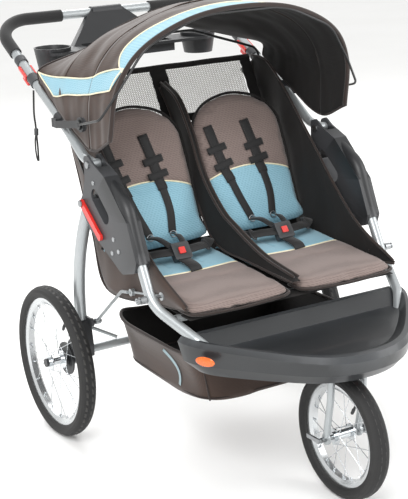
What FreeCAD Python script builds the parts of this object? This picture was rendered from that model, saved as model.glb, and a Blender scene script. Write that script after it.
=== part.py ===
import FreeCAD, Part
import Sketcher
import math
import os
from FreeCAD import Placement, Rotation, Vector

# Folding double jogging stroller. +Z is up and the stroller faces -Y. The origin lies on the ground, under the
# middle of the whole stroller. All sizes are in millimetres.

doc = FreeCAD.newDocument("JoggingStroller")
sheet = doc.addObject("Spreadsheet::Sheet", "Sizes")

SIZES = [
    # frame tubes
    ("frame_half", 335, "middle of each side frame from the stroller's middle plane"),
    ("tube_r", 12.5, "frame tube outer radius"),
    ("tube_wall", 1.6, "frame tube wall"),
    ("fit_gap", 0.3, "gap between pieces that are fixed together"),
    ("run_gap", 0.05, "radial gap between a pin and the hole that turns on it"),
    ("slide_gap", 1.0, "gap at each side of a piece that swings between plates"),
    # hinge housings and their pivots
    ("fold_pivot_y", 53, "handle pivot"),
    ("fold_pivot_z", 756, "handle pivot"),
    ("leg_pivot_y", 88, "rear leg pivot"),
    ("leg_pivot_z", 655, "rear leg pivot"),
    ("plate_thick", 5.5, "side plate of a hinge housing"),
    ("pin_r", 5, "pivot pin radius"),
    ("rivet_head_r", 6, "rivet head radius"),
    ("lever_thick", 7, "red fold lever"),
    # rear frame
    ("rear_wheel_r", 200, "rear wheel radius, tyre included"),
    ("rear_tyre_w", 45, "rear tyre width"),
    ("rear_axle_y", 255, "rear axle"),
    ("wheel_offset", 49, "rear wheel middle outboard of its side frame"),
    ("leg_deep", 32, "rear leg section, fore and aft"),
    ("axle_bar_y", 175, "cross bar between the rear legs"),
    ("axle_bar_up", 43, "cross bar above the rear axle"),
    ("axle_bar_r", 11, "cross bar radius"),
    # lower braces
    ("brace_bolt_y", -197, "front end of the lower brace, on the front tube"),
    ("brace_bolt_z", 480, "front end of the lower brace"),
    ("knee_y", -50, "knee of the lower brace"),
    ("knee_z", 452, "knee of the lower brace"),
    ("brace_r", 7, "lower brace tube radius"),
    # front wheel
    ("front_wheel_r", 155, "front wheel radius, tyre included"),
    ("front_tyre_w", 48, "front tyre width"),
    ("front_axle_y", -481, "front axle"),
    ("trail", 22, "swivel axis ahead of the front axle"),
    ("fork_half", 46, "middle of each fork leg from the wheel's middle plane"),
    ("stem_r", 11, "swivel stem radius"),
    # footrest tray
    ("tray_half", 318, "tray half width"),
    ("tray_rear_y", -285, "rear edge of the tray"),
    ("tray_nose_y", -612, "nose of the tray"),
    ("tray_low_z", 328, "lower edge of the tray"),
    ("tray_top_z", 396, "rim of the tray at the nose"),
    ("tray_wall", 4, "tray wall"),
    # handle
    ("handle_rise", 0.54, "height gained per length along the handle tubes"),
    ("clip_y", 211, "canopy clip on the handle tube"),
    ("clip_z", 832, "canopy clip on the handle tube"),
    ("collar_y", 373, "joint of the side tube and the handle bar"),
    ("handle_rear_y", 612, "middle of the handle's cross bar"),
    ("handle_bend_r", 98, "handle corner bend"),
    ("grip_r", 16.5, "foam grip radius"),
    ("grip_start_y", 481, "lower end of the grips"),
    ("grip_inner", 138, "inner ends of the grips from the middle"),
    # canopy
    ("canopy_pivot_y", 57, "canopy hub"),
    ("canopy_pivot_z", 855, "canopy hub"),
    ("canopy_half", 338, "canopy half width"),
    ("canopy_top_z", 1118, "top of the canopy's front edge"),
    ("cloth", 3, "canopy cloth with its lining"),
    # seats
    ("seat_half", 294, "outer edge of the seats from the middle"),
    ("seat_split", 12, "inner edge of each seat from the middle"),
    ("seat_front_y", -312, "front edge of the seats"),
    ("bight_y", 82, "hinge between seat and back"),
    ("bight_z", 498, "hinge between seat and back"),
    ("pad_thick", 30, "seat pad"),
    ("back_long", 372, "length of a seat back"),
    ("back_thick", 34, "thickness of a seat back"),
    ("back_lean", 69, "angle of the seat backs above level, degrees"),
    # basket
    ("basket_half", 262, "basket half width at the rim"),
    ("basket_rear_y", 163, "rear of the basket"),
    ("basket_front_y", -262, "front of the basket"),
    ("basket_rim_z", 338, "rim of the basket"),
    ("basket_low_z", 205, "floor of the basket"),
    ("basket_wall", 4, "basket cloth"),
]
for row, (alias, amount, note) in enumerate(SIZES, start=1):
    sheet.set(f"A{row}", note)
    sheet.set(f"B{row}", str(amount))
    sheet.setAlias(f"B{row}", alias)
doc.recompute()


def size(alias):
    """The number in the sheet's cell of that name."""
    return float(sheet.get(alias))


def total(formula):
    """The value of a sum such as "tube_r - tube_wall", whose words are cell names or numbers."""
    amount, sign = 0.0, 1.0
    for word in formula.split():
        if word in "+-":
            sign = 1.0 if word == "+" else -1.0
        else:
            amount += sign * (float(word) if word[0].isdigit() else size(word))
    return amount


def bound(formula):
    """The same sum as an expression on the sheet."""
    words = [word if word in "+-" or word[0].isdigit() else "Sizes." + word for word in formula.split()]
    return " ".join(words)


sub_parts = []


def keep(piece, label, place=None):
    """Name a finished sub-part and put it in its place."""
    piece.Label = label
    if place is not None:
        piece.Placement = place
    sub_parts.append(piece)
    return piece


def shaped(label, shape, place=None):
    """A sub-part whose shape comes from a sweep or a loft."""
    piece = doc.addObject("Part::Feature", label)
    piece.Shape = shape
    return keep(piece, label, place)


SIDES = {"left": -1, "right": 1}
ACROSS = Rotation(Vector(0, 1, 0), 90)
side_x = size("frame_half")


# ---------------------------------------------------------------- sketches and bodies

def origin_plane(body, role):
    return next(plane for plane in body.Origin.OriginFeatures if plane.Role == role)


def sketch_outline(body, role, name, corners):
    """A closed sketch of straight sides whose corners are held by the sheet."""
    sketch = body.newObject("Sketcher::SketchObject", name)
    sketch.AttachmentSupport = [(origin_plane(body, role), "")]
    sketch.MapMode = "FlatFace"
    spots = [Vector(total(across), total(up), 0) for across, up in corners]
    for start, end in zip(spots, spots[1:] + spots[:1]):
        sketch.addGeometry(Part.LineSegment(start, end), False)
    count = len(spots)
    for index, (spot, corner) in enumerate(zip(spots, corners)):
        sketch.addConstraint(Sketcher.Constraint("Coincident", index, 2, (index + 1) % count, 1))
        for kind, amount, formula, axis in (("DistanceX", spot.x, corner[0], -2), ("DistanceY", spot.y, corner[1], -1)):
            if abs(amount) < 1e-9:
                sketch.addConstraint(Sketcher.Constraint("PointOnObject", index, 1, axis))
            elif amount > 0:
                number = sketch.addConstraint(Sketcher.Constraint(kind, -1, 1, index, 1, amount))
                sketch.setExpression(f"Constraints[{number}]", bound(formula))
            else:
                number = sketch.addConstraint(Sketcher.Constraint(kind, index, 1, -1, 1, -amount))
                sketch.setExpression(f"Constraints[{number}]", f"-1 * ({bound(formula)})")
    return sketch


def turned_body(name, corners):
    """A body turned about the X axis: each corner is a place along the axis and a radius."""
    body = doc.addObject("PartDesign::Body", name)
    sketch = sketch_outline(body, "XY_Plane", name + "_profile", corners)
    turn = body.newObject("PartDesign::Revolution", name + "_turn")
    turn.Profile = sketch
    turn.ReferenceAxis = (sketch, ["H_Axis"])
    turn.Angle = 360
    doc.recompute()
    return body


def plate_body(name, corners, thick, round_r=0.0):
    """A flat body lying across X, middle on the X origin, with its corners rounded."""
    body = doc.addObject("PartDesign::Body", name)
    sketch = sketch_outline(body, "YZ_Plane", name + "_outline", corners)
    pad = body.newObject("PartDesign::Pad", name + "_pad")
    pad.Profile = sketch
    pad.setExpression("Length", bound(thick))
    pad.Midplane = True
    doc.recompute()
    if round_r:
        corners_along_x = [
            f"Edge{number}"
            for number, edge in enumerate(pad.Shape.Edges, start=1)
            if len(edge.Vertexes) == 2 and abs(edge.tangentAt(edge.FirstParameter).x) > 0.999
        ]
        rounding = body.newObject("PartDesign::Fillet", name + "_corners")
        rounding.Base = (pad, corners_along_x)
        rounding.Radius = round_r
        doc.recompute()
    return body


def pin(name, radius, length, centre):
    """A round pin along X, centred on a point, as a primitive bound to the sheet."""
    piece = doc.addObject("Part::Cylinder", name)
    piece.setExpression("Radius", bound(radius))
    piece.setExpression("Height", bound(length))
    piece.Placement = Placement(centre - Vector(total(length) / 2, 0, 0), ACROSS)
    return piece


def group(kind, name, members):
    """A Part::Compound, Part::MultiFuse or Part::MultiCommon of several objects."""
    piece = doc.addObject(kind, name)
    if kind == "Part::Compound":
        piece.Links = members
    else:
        piece.Shapes = members
    doc.recompute()
    return piece


def cut(name, base, tool):
    piece = doc.addObject("Part::Cut", name)
    piece.Base = base
    piece.Tool = tool
    doc.recompute()
    return piece


# ---------------------------------------------------------------- sweeps and lofts

def bent_path(points, radii):
    """Straight runs joined by tangent arcs, one radius for each inner point."""
    edges = []
    start = points[0]
    for before, corner, after, radius in zip(points, points[1:], points[2:], radii):
        towards = (corner - before).normalize()
        onward = (after - corner).normalize()
        turn = math.acos(max(-1.0, min(1.0, towards.dot(onward))))
        reach = radius * math.tan(turn / 2)
        enter = corner - towards * reach
        leave = corner + onward * reach
        inward = (onward - towards).normalize()
        middle = corner + inward * (radius / math.cos(turn / 2) - radius)
        edges.append(Part.LineSegment(start, enter).toShape())
        edges.append(Part.Arc(enter, middle, leave).toShape())
        start = leave
    edges.append(Part.LineSegment(start, points[-1]).toShape())
    return Part.Wire(edges)


def rod(path, radius):
    first = path.Edges[0]
    start = first.valueAt(first.FirstParameter)
    along = first.tangentAt(first.FirstParameter)
    ring = Part.Wire(Part.Circle(start, along, radius).toShape())
    return path.makePipeShell([ring], True, True)


def tube(path, outer, wall):
    return rod(path, outer).cut(rod(path, outer - wall))


def mirrored(shape):
    return shape.mirror(Vector(0, 0, 0), Vector(1, 0, 0))


def on_side(shape, sign):
    """A shape made for the right side, put on the side asked for."""
    return shape if sign > 0 else mirrored(shape)


def smooth_outline(points, height_at):
    """A closed outline from a row of (x, y) points, straight at the back, smooth round the front."""
    spots = [Vector(across, along, height_at(along)) for across, along in points]
    curve = Part.BSplineCurve()
    curve.interpolate(spots)
    back = Part.LineSegment(spots[-1], spots[0])
    return Part.Wire([curve.toShape(), back.toShape()])


def slab(low, high):
    """A box between two corners."""
    span = high - low
    return Part.makeBox(span.x, span.y, span.z, low)


# ---------------------------------------------------------------- front frame

fold_pivot = Vector(0, size("fold_pivot_y"), size("fold_pivot_z"))
leg_pivot = Vector(0, size("leg_pivot_y"), size("leg_pivot_z"))
swivel_y = size("front_axle_y") - size("trail")
neck_z = size("tray_top_z") - size("tube_r") - 32
brace_bolt = Vector(0, size("brace_bolt_y"), size("brace_bolt_z"))
beside = Vector(side_x, 0, 0)

front_tube_points = [
    beside + fold_pivot + Vector(0, -61, -27),
    beside + fold_pivot + Vector(0, -158, -74),
    beside + brace_bolt + Vector(0, 49, 95),
    beside + brace_bolt + Vector(0, -8, -15),
    Vector(size("tray_half") - 30, size("tray_rear_y") - 41, size("tray_top_z") + 8),
    Vector(size("tray_half") - 66, size("tray_rear_y") - 87, neck_z + 10),
    Vector(58, swivel_y + 33, neck_z),
]
front_tube_bends = [70, 150, 100, 30, 30]
front_tube_path = bent_path(front_tube_points, front_tube_bends)
sleeve_end = front_tube_points[2] + (front_tube_points[3] - front_tube_points[2]) * 0.22
sleeve_path = bent_path(front_tube_points[:3] + [sleeve_end], [70, 40])

for side, sign in SIDES.items():
    bolt_hole = Part.makeCylinder(4 + size("fit_gap"), 60, brace_bolt + beside - Vector(30, 0, 0), Vector(1, 0, 0))
    shape = tube(front_tube_path, size("tube_r"), size("tube_wall")).cut(bolt_hole)
    shaped(f"front_tube_{side}", on_side(shape, sign))


def moved_outline(start, steps):
    """Corner formulas for a plate from (y, z) steps off a named pivot."""
    names = {"fold": ("fold_pivot_y", "fold_pivot_z"), "leg": ("leg_pivot_y", "leg_pivot_z"),
             "bolt": ("brace_bolt_y", "brace_bolt_z")}[start]
    words = []
    for along, up in steps:
        words.append(tuple(
            f"{name} {'+' if step >= 0 else '-'} {abs(step)}" for name, step in zip(names, (along, up))
        ))
    return words


housing_wide = "tube_r + tube_r + slide_gap + slide_gap + plate_thick + plate_thick"
pin_long = housing_wide + " + 6"
housing_outline = (
    moved_outline("fold", [(20, 17), (0, 24), (-26, 8), (-84, -14)])
    + moved_outline("bolt", [(63, 170), (26, 82), (36, 55), (96, 38), (112, 44)])
    + moved_outline("leg", [(-28, -62), (10, -22), (20, 0), (2, 22), (-14, 60)])
)
slot_outline = (
    moved_outline("fold", [(60, 60), (-44, 60), (-44, -16), (-30, -46)])
    + moved_outline("leg", [(-32, -14), (-58, -90), (-58, -190), (60, -190), (60, 40)])
)
for side, sign in SIDES.items():
    plates = plate_body(f"housing_block_{side}", housing_outline, housing_wide, 9)
    slot_sketch = sketch_outline(plates, "YZ_Plane", f"housing_slot_{side}", slot_outline)
    slot = plates.newObject("PartDesign::Pocket", f"housing_slot_cut_{side}")
    slot.Profile = slot_sketch
    slot.setExpression("Length", "2 * (Sizes.tube_r + Sizes.slide_gap)")
    slot.Midplane = True
    doc.recompute()
    plates.Placement = Placement(Vector(sign * side_x, 0, 0), Rotation())

    sleeve = doc.addObject("Part::Feature", f"tube_sleeve_{side}")
    sleeve.Shape = on_side(rod(sleeve_path, size("tube_r") + size("plate_thick")), sign)
    body = group("Part::MultiFuse", f"housing_solid_{side}", [plates, sleeve])

    bore = doc.addObject("Part::Feature", f"tube_bore_{side}")
    bore.Shape = on_side(rod(front_tube_path, size("tube_r") + size("fit_gap")), sign)
    grip_hole = doc.addObject("Part::Cylinder", f"grip_hole_{side}")
    grip_hole.Radius = 18
    grip_hole.Height = 80
    grip_hole.Placement = Placement(Vector(sign * side_x - 40, 24, 684), ACROSS)
    grip_end = doc.addObject("Part::Cylinder", f"grip_hole_end_{side}")
    grip_end.Radius = 18
    grip_end.Height = 80
    grip_end.Placement = Placement(Vector(sign * side_x - 40, -26, 643), ACROSS)
    grip_middle = doc.addObject("Part::Box", f"grip_hole_middle_{side}")
    grip_middle.Length = 80
    grip_middle.Width = 64.7
    grip_middle.Height = 36
    hole_lean = math.degrees(math.atan2(684 - 643, 24 + 26))
    grip_middle.Placement = Placement(
        Vector(sign * side_x - 40, -26, 643), Rotation(Vector(1, 0, 0), hole_lean)
    ).multiply(Placement(Vector(0, 0, -18), Rotation()))
    holes = [
        bore, grip_hole, grip_end, grip_middle,
        pin(f"fold_pin_hole_{side}", "pin_r + run_gap", pin_long, fold_pivot + Vector(sign * side_x, 0, 0)),
        pin(f"leg_pin_hole_{side}", "pin_r + run_gap", pin_long, leg_pivot + Vector(sign * side_x, 0, 0)),
    ]
    openings = group("Part::MultiFuse", f"housing_openings_{side}", holes)
    keep(cut(f"hinge_housing_{side}", body, openings), f"hinge_housing_{side}")

# pivot pins with domed heads: one at each handle pivot and one at each leg pivot, and the small plate rivets
half_housing = total(housing_wide) / 2
lever_room = size("lever_thick") + 2 * size("slide_gap")
pin_pieces = []
for side, sign in SIDES.items():
    for name, centre, outer_reach in (("fold", fold_pivot, 0.5), ("leg", leg_pivot, lever_room)):
        inner_x = sign * (side_x - half_housing - 0.5)
        outer_x = sign * (side_x + half_housing + outer_reach)
        low, high = min(inner_x, outer_x), max(inner_x, outer_x)
        shank = Part.makeCylinder(size("pin_r"), high - low, Vector(low, centre.y, centre.z), Vector(1, 0, 0))
        heads = [
            Part.makeSphere(9, Vector(x, centre.y, centre.z)).common(
                Part.makeCylinder(9, 3, Vector(x if step > 0 else x - 3, centre.y, centre.z), Vector(1, 0, 0)))
            for x, step in ((low, -1), (high, 1))
        ]
        pin_pieces.append(shank.fuse(heads))
    for along, up in ((28, 716), (-63, 596), (-53, 560), (-86, 571)):
        face = side_x + half_housing + 0.05
        head = Part.makeCylinder(size("rivet_head_r"), 2, Vector(face, along, up), Vector(1, 0, 0))
        head = head.makeFillet(1.4, [head.Edges[0]] if head.Edges[0].CenterOfMass.x > face + 1 else [head.Edges[2]])
        pin_pieces.append(on_side(head, sign))
    bolt_low = side_x - 36
    shank = Part.makeCylinder(4, 74, Vector(bolt_low, brace_bolt.y, brace_bolt.z), Vector(1, 0, 0))
    nut = Part.makeCylinder(8, 5, Vector(side_x + 31, brace_bolt.y, brace_bolt.z), Vector(1, 0, 0))
    washer = Part.makeCylinder(9, 15, Vector(side_x + 13, brace_bolt.y, brace_bolt.z), Vector(1, 0, 0))
    pin_pieces.append(on_side(shank.fuse([nut, washer]), sign))
shaped("frame_pins", Part.makeCompound(pin_pieces))

# cross tube under the seats, between the front tubes
seat_tube_at = front_tube_points[3] + (front_tube_points[4] - front_tube_points[3]) * 0.41
seat_tube_end = Vector(seat_tube_at.x - size("tube_r") - size("fit_gap"), seat_tube_at.y, seat_tube_at.z)
seat_tube_line = Part.LineSegment(Vector(-seat_tube_end.x, seat_tube_end.y, seat_tube_end.z), seat_tube_end)
shaped("seat_cross_tube", tube(Part.Wire([seat_tube_line.toShape()]), 9, 1.5))

# neck casting: joins both front tubes and carries the swivel stem
neck_block = Part.makeBox(120, 66, 34, Vector(-60, swivel_y - 33, neck_z - 17))
neck_block = neck_block.makeFillet(8, [edge for edge in neck_block.Edges if abs(edge.tangentAt(0).z) > 0.9])
stem_hole = Part.makeCylinder(
    size("stem_r") + size("run_gap"), 120, Vector(0, swivel_y, neck_z - 60), Vector(0, 0, 1))
tube_sockets = [on_side(rod(front_tube_path, size("tube_r") + size("fit_gap")), sign) for sign in (-1, 1)]
shaped("steering_head", neck_block.cut([stem_hole] + tube_sockets))


# ---------------------------------------------------------------- footrest tray

def tray_outline(inset, height_at):
    """The tray's plan, drawn in by an inset all round."""
    half = size("tray_half") - inset
    rear = size("tray_rear_y") - inset
    nose = size("tray_nose_y") + inset
    deep = rear - nose
    right = [(half, rear), (half * 0.985, rear - 0.10 * deep), (half * 0.86, rear - 0.32 * deep),
             (half * 0.58, rear - 0.68 * deep), (half * 0.27, rear - 0.945 * deep)]
    return smooth_outline(right + [(0, nose)] + [(-across, along) for across, along in reversed(right)], height_at)


def rim_height(along):
    """The rim rises a little towards the rear corners."""
    return size("tray_top_z") + 16 * (along - size("tray_nose_y")) / (size("tray_rear_y") - size("tray_nose_y"))


tray_floor_z = size("tray_top_z") - 15
tray_skirt = Part.makeLoft(
    [tray_outline(34, lambda along: size("tray_low_z")), tray_outline(9, lambda along: size("tray_low_z") + 24),
     tray_outline(0, lambda along: rim_height(along) - 14), tray_outline(7, rim_height)], True, True)
tray_hollow = Part.makeLoft(
    [tray_outline(38, lambda along: size("tray_low_z") - 1),
     tray_outline(14, lambda along: size("tray_low_z") + 24),
     tray_outline(10, lambda along: tray_floor_z - size("tray_wall"))], True, True)
tray_dish = Part.makeLoft(
    [tray_outline(58, lambda along: tray_floor_z), tray_outline(20, lambda along: rim_height(along) + 2)], True, True)
corner_room = [on_side(rod(front_tube_path, size("tube_r") + 1.5), sign) for sign in (-1, 1)]
shaped("footrest_tray", tray_skirt.cut([tray_hollow, tray_dish] + corner_room))

# amber reflectors on the tray's front corners
reflectors = []
for sign in (-1, 1):
    lens = Part.makeSphere(25)
    squeeze = FreeCAD.Matrix()
    squeeze.scale(Vector(1.0, 0.16, 0.46))
    lens = lens.transformGeometry(squeeze)
    lens.Placement = Placement(
        Vector(sign * (size("tray_half") - 17), size("tray_rear_y") - 92, size("tray_low_z") + 44),
        Rotation(Vector(0, 0, 1), sign * 62))
    reflectors.append(lens)
shaped("tray_reflectors", Part.makeCompound([lens.cut(tray_skirt) for lens in reflectors]))


# ---------------------------------------------------------------- rear frame

rear_axle = Vector(0, size("rear_axle_y"), size("rear_wheel_r"))
bar_centre = Vector(0, size("axle_bar_y"), size("rear_wheel_r") + size("axle_bar_up"))
leg_foot = bar_centre + Vector(0, 12, 70)
leg_bulge = (leg_pivot + leg_foot) * 0.5 + Vector(0, 34, 0)
leg_curve = Part.Arc(leg_pivot, leg_bulge, leg_foot).toShape()
brace_foot = leg_foot + Vector(0, -42, 12)


def oval_ring(curve, where, half_wide, half_deep):
    """A flat-sided oval round a curve in the side plane: half_wide along X, half_deep across the curve."""
    spot = curve.valueAt(where)
    along = curve.tangentAt(where)
    out = Vector(1, 0, 0)
    deep = along.cross(out).normalize()
    straight = half_deep - half_wide * 0.55
    corners = [spot + out * half_wide + deep * straight, spot + deep * half_deep,
               spot - out * half_wide + deep * straight, spot - out * half_wide - deep * straight,
               spot - deep * half_deep, spot + out * half_wide - deep * straight]
    edges = [
        Part.Arc(corners[0], corners[1], corners[2]).toShape(),
        Part.LineSegment(corners[2], corners[3]).toShape(),
        Part.Arc(corners[3], corners[4], corners[5]).toShape(),
        Part.LineSegment(corners[5], corners[0]).toShape(),
    ]
    return Part.Wire(edges)


def oval_sweep(curve, half_wide, half_deep):
    path = Part.Wire([curve])
    return path.makePipeShell([oval_ring(curve, curve.FirstParameter, half_wide, half_deep)], True, True)


half_deep = size("leg_deep") / 2
leg_shape = oval_sweep(leg_curve, size("tube_r"), half_deep).cut(
    oval_sweep(leg_curve, size("tube_r") - size("tube_wall"), half_deep - size("tube_wall")))
leg_eye = Part.makeCylinder(half_deep, 2 * size("tube_r"), leg_pivot - Vector(size("tube_r"), 0, 0), Vector(1, 0, 0))
eye_hole = Part.makeCylinder(
    size("pin_r") + size("run_gap"), 60, leg_pivot - Vector(30, 0, 0), Vector(1, 0, 0))
for side, sign in SIDES.items():
    shape = leg_shape.fuse(leg_eye).cut(eye_hole)
    shape.translate(Vector(sign * side_x, 0, 0))
    shaped(f"rear_leg_{side}", shape)

# moulded brackets: hold the leg's foot, the cross bar and the wheel's axle pin
axle_reach = size("wheel_offset") + 10.5
bracket_half = size("tube_r") + 4
bracket_pieces = []
for side, sign in SIDES.items():
    arm = [leg_foot + Vector(0, -22, 12), leg_foot + Vector(0, 22, 14), leg_foot + Vector(0, 24, -30),
           rear_axle + Vector(0, 18, 16), rear_axle + Vector(0, 20, -12), rear_axle + Vector(0, -8, -18),
           bar_centre + Vector(0, -20, -12), bar_centre + Vector(0, -20, 14)]
    face = Part.Face(Part.makePolygon([point - Vector(bracket_half, 0, 0) for point in arm + arm[:1]]))
    block = face.extrude(Vector(2 * bracket_half, 0, 0))
    block = block.makeFillet(6, [edge for edge in block.Edges if abs(edge.tangentAt(0).x) > 0.9])
    axle_pin = Part.makeCylinder(6, axle_reach + 10, rear_axle + Vector(10, 0, 0), Vector(1, 0, 0))
    axle_cap = Part.makeCylinder(11, 5, rear_axle + Vector(axle_reach + 15, 0, 0), Vector(1, 0, 0))
    drum = Part.makeCylinder(44, 5, rear_axle + Vector(bracket_half - 1, 0, 0), Vector(1, 0, 0))
    lug = Part.makeCylinder(11, 6, brace_foot - Vector(bracket_half - 4.5, 0, 0), Vector(1, 0, 0))
    lug_arm = Part.makeBox(6, 34, 18, brace_foot - Vector(bracket_half - 4.5, 0, 9))
    brace_pin = Part.makeCylinder(4, 26, brace_foot - Vector(bracket_half + 20, 0, 0), Vector(1, 0, 0))
    block = block.fuse([axle_pin, axle_cap, drum, lug, lug_arm, brace_pin])
    block = block.cut([
        oval_sweep(leg_curve, size("tube_r") + size("fit_gap"), half_deep + size("fit_gap")),
        Part.makeCylinder(size("axle_bar_r") + size("fit_gap"), 100, bar_centre - Vector(50, 0, 0), Vector(1, 0, 0)),
    ])
    block.translate(Vector(side_x, 0, 0))
    bracket_pieces.append(on_side(block, sign))
shaped("axle_brackets", Part.makeCompound(bracket_pieces))

bar_half = side_x + bracket_half - 3
bar_shape = Part.makeCylinder(size("axle_bar_r"), 2 * bar_half, bar_centre - Vector(bar_half, 0, 0), Vector(1, 0, 0))
bar_bore = Part.makeCylinder(
    size("axle_bar_r") - 2, 2 * bar_half, bar_centre - Vector(bar_half, 0, 0), Vector(1, 0, 0))

# diagonal struts from each bracket to the cross bar
strut_pieces = []
for sign in (-1, 1):
    path = Part.Wire([Part.LineSegment(
        Vector(side_x - bracket_half - 0.5, leg_foot.y + 2, leg_foot.z - 12),
        Vector(side_x - bracket_half - 76, bar_centre.y, bar_centre.z + size("axle_bar_r") + 5)).toShape()])
    strut_pieces.append(on_side(rod(path, 4.5), sign))
shaped("rear_cross_bar", Part.makeCompound([bar_shape.cut(bar_bore)] + strut_pieces))

# foot brake: a pedal bar that turns on the cross bar
pedal_ring = Part.makeCylinder(14.5, 90, bar_centre - Vector(45, 0, 0), Vector(1, 0, 0))
pedal_plate = Part.makeBox(90, 62, 6, bar_centre + Vector(-45, 10, -3))
pedal_plate = pedal_plate.makeFillet(2.5, pedal_plate.Edges)
pedal_hole = Part.makeCylinder(
    size("axle_bar_r") + size("run_gap"), 120, bar_centre - Vector(60, 0, 0), Vector(1, 0, 0))
shaped("brake_pedal", pedal_ring.fuse(pedal_plate).cut(pedal_hole))

# ---------------------------------------------------------------- lower braces

brace_x = side_x - size("tube_r") - size("brace_r") - 7.5
knee = Vector(0, size("knee_y"), size("knee_z"))
brace_bend = Vector(0, brace_foot.y - 150, knee.z - 8)


def eye_plate(centre, x_low, thick, radius, hole):
    disc = Part.makeCylinder(radius, thick, Vector(x_low, centre.y, centre.z), Vector(1, 0, 0))
    bore = Part.makeCylinder(hole, thick, Vector(x_low, centre.y, centre.z), Vector(1, 0, 0))
    return disc.cut(bore)


front_braces = []
rear_braces = []
for sign in (-1, 1):
    front_run = rod(Part.Wire([Part.LineSegment(
        brace_bolt + (knee - brace_bolt) * 0.05, brace_bolt + (knee - brace_bolt) * 0.955).toShape()]),
        size("brace_r") - 4)
    front_run.translate(Vector(brace_x - 3.9, 0, 0))
    eyes = [eye_plate(brace_bolt, brace_x - 7, 6, 10, 4 + size("run_gap")),
            eye_plate(knee, brace_x - 7, 6, 9, 3)]
    front_braces.append(on_side(front_run.fuse(eyes), sign))

    rear_path = bent_path([knee + (brace_bend - knee) * 0.25, brace_bend, brace_foot], [34])
    rear_run = rod(rear_path, size("brace_r") - 2.9)
    rear_run.translate(Vector(brace_x + 3.5, 0, 0))
    knee_eye = eye_plate(knee, brace_x, 3, 9, 3)
    knee_arm = Part.makeCylinder(
        1.4, (brace_bend - knee).Length * 0.3, knee + Vector(brace_x + 1.5, 0, 0), brace_bend - knee)
    foot_eye = Part.makeCylinder(8, 14, brace_foot + Vector(brace_x - 6, 0, 0), Vector(1, 0, 0))
    foot_hole = Part.makeCylinder(
        4 + size("run_gap"), 40, brace_foot + Vector(brace_x - 20, 0, 0), Vector(1, 0, 0))
    rear_braces.append(on_side(rear_run.fuse([knee_eye, knee_arm, foot_eye]).cut(foot_hole), sign))
shaped("front_braces", Part.makeCompound(front_braces))
shaped("rear_braces", Part.makeCompound(rear_braces))

# ---------------------------------------------------------------- wheels

def wheel(prefix, radius, tyre_w, hub_half, flange_r, centre, spoke_count):
    """Tyre, rim, hub and laced spokes of one wheel, turned about X at its centre."""
    place = Placement(centre, Rotation())
    rim_r = f"{radius} - 38"
    bead = f"{radius} - 29.8"
    tyre = turned_body(prefix + "_tyre", [
        (tyre_w + " - 9", bead), (tyre_w + " - 4", f"{radius} - 26"), (tyre_w, f"{radius} - 15"),
        (tyre_w + " - 3", f"{radius} - 7"), (tyre_w + " - 10", f"{radius} - 2"), (tyre_w + " - 17", radius),
        ("0 - " + tyre_w + " + 17", radius), ("0 - " + tyre_w + " + 10", f"{radius} - 2"),
        ("0 - " + tyre_w + " + 3", f"{radius} - 7"), ("0 - " + tyre_w, f"{radius} - 15"),
        ("0 - " + tyre_w + " + 4", f"{radius} - 26"), ("0 - " + tyre_w + " + 9", bead),
        ("0 - " + tyre_w + " + 12", bead), ("0 - " + tyre_w + " + 6", f"{radius} - 22"),
        ("0 - " + tyre_w + " + 12", f"{radius} - 8"), (tyre_w + " - 12", f"{radius} - 8"),
        (tyre_w + " - 6", f"{radius} - 22"), (tyre_w + " - 12", bead),
    ])
    keep(tyre, prefix + "_tyre", place)
    rim = turned_body(prefix + "_rim", [
        ("12", f"{radius} - 30"), ("9.5", f"{radius} - 30"), ("9", f"{radius} - 36"), ("0 - 9", f"{radius} - 36"),
        ("0 - 9.5", f"{radius} - 30"), ("0 - 12", f"{radius} - 30"), ("0 - 12.5", f"{radius} - 38"),
        ("0 - 8", f"{radius} - 46"), ("8", f"{radius} - 46"), ("12.5", f"{radius} - 38"),
    ])
    keep(rim, prefix + "_rim", place)
    half = f"{hub_half}"
    hub = turned_body(prefix + "_hub", [
        (half, "6.05"), (half, "12"), (f"{hub_half} - 5", "12"), (f"{hub_half} - 5", f"{flange_r}"),
        (f"{hub_half} - 8", f"{flange_r}"), (f"{hub_half} - 8", "11"), (f"0 - {hub_half} + 8", "11"),
        (f"0 - {hub_half} + 8", f"{flange_r}"), (f"0 - {hub_half} + 5", f"{flange_r}"),
        (f"0 - {hub_half} + 5", "12"), (f"0 - {hub_half}", "12"), (f"0 - {hub_half}", "6.05"),
    ])
    keep(hub, prefix + "_hub", place)
    rim_inner = total(radius) - 45
    spokes = []
    for number in range(spoke_count):
        around = 2 * math.pi * number / spoke_count
        flank = 1 if number % 2 else -1
        lean = (1 if (number // 2) % 2 else -1) * math.radians(62)
        flange = flank * (hub_half - 6.5 + (1.6 if lean > 0 else -1.6))
        start = Vector(flange, math.cos(around + lean) * (flange_r - 3), math.sin(around + lean) * (flange_r - 3))
        end = Vector(flank * 4, math.cos(around) * rim_inner, math.sin(around) * rim_inner)
        spokes.append(Part.makeCylinder(0.9, (end - start).Length, start, end - start))
    shaped(prefix + "_spokes", Part.makeCompound(spokes), place)


for side, sign in SIDES.items():
    track = sign * (side_x + size("wheel_offset"))
    wheel(f"rear_{side}", "rear_wheel_r", "22.5", 24, 24, rear_axle + Vector(track, 0, 0), 20)
front_axle = Vector(0, size("front_axle_y"), size("front_wheel_r"))
wheel("front", "front_wheel_r", "24", 30, 20, front_axle, 20)

# ---------------------------------------------------------------- fork

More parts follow.
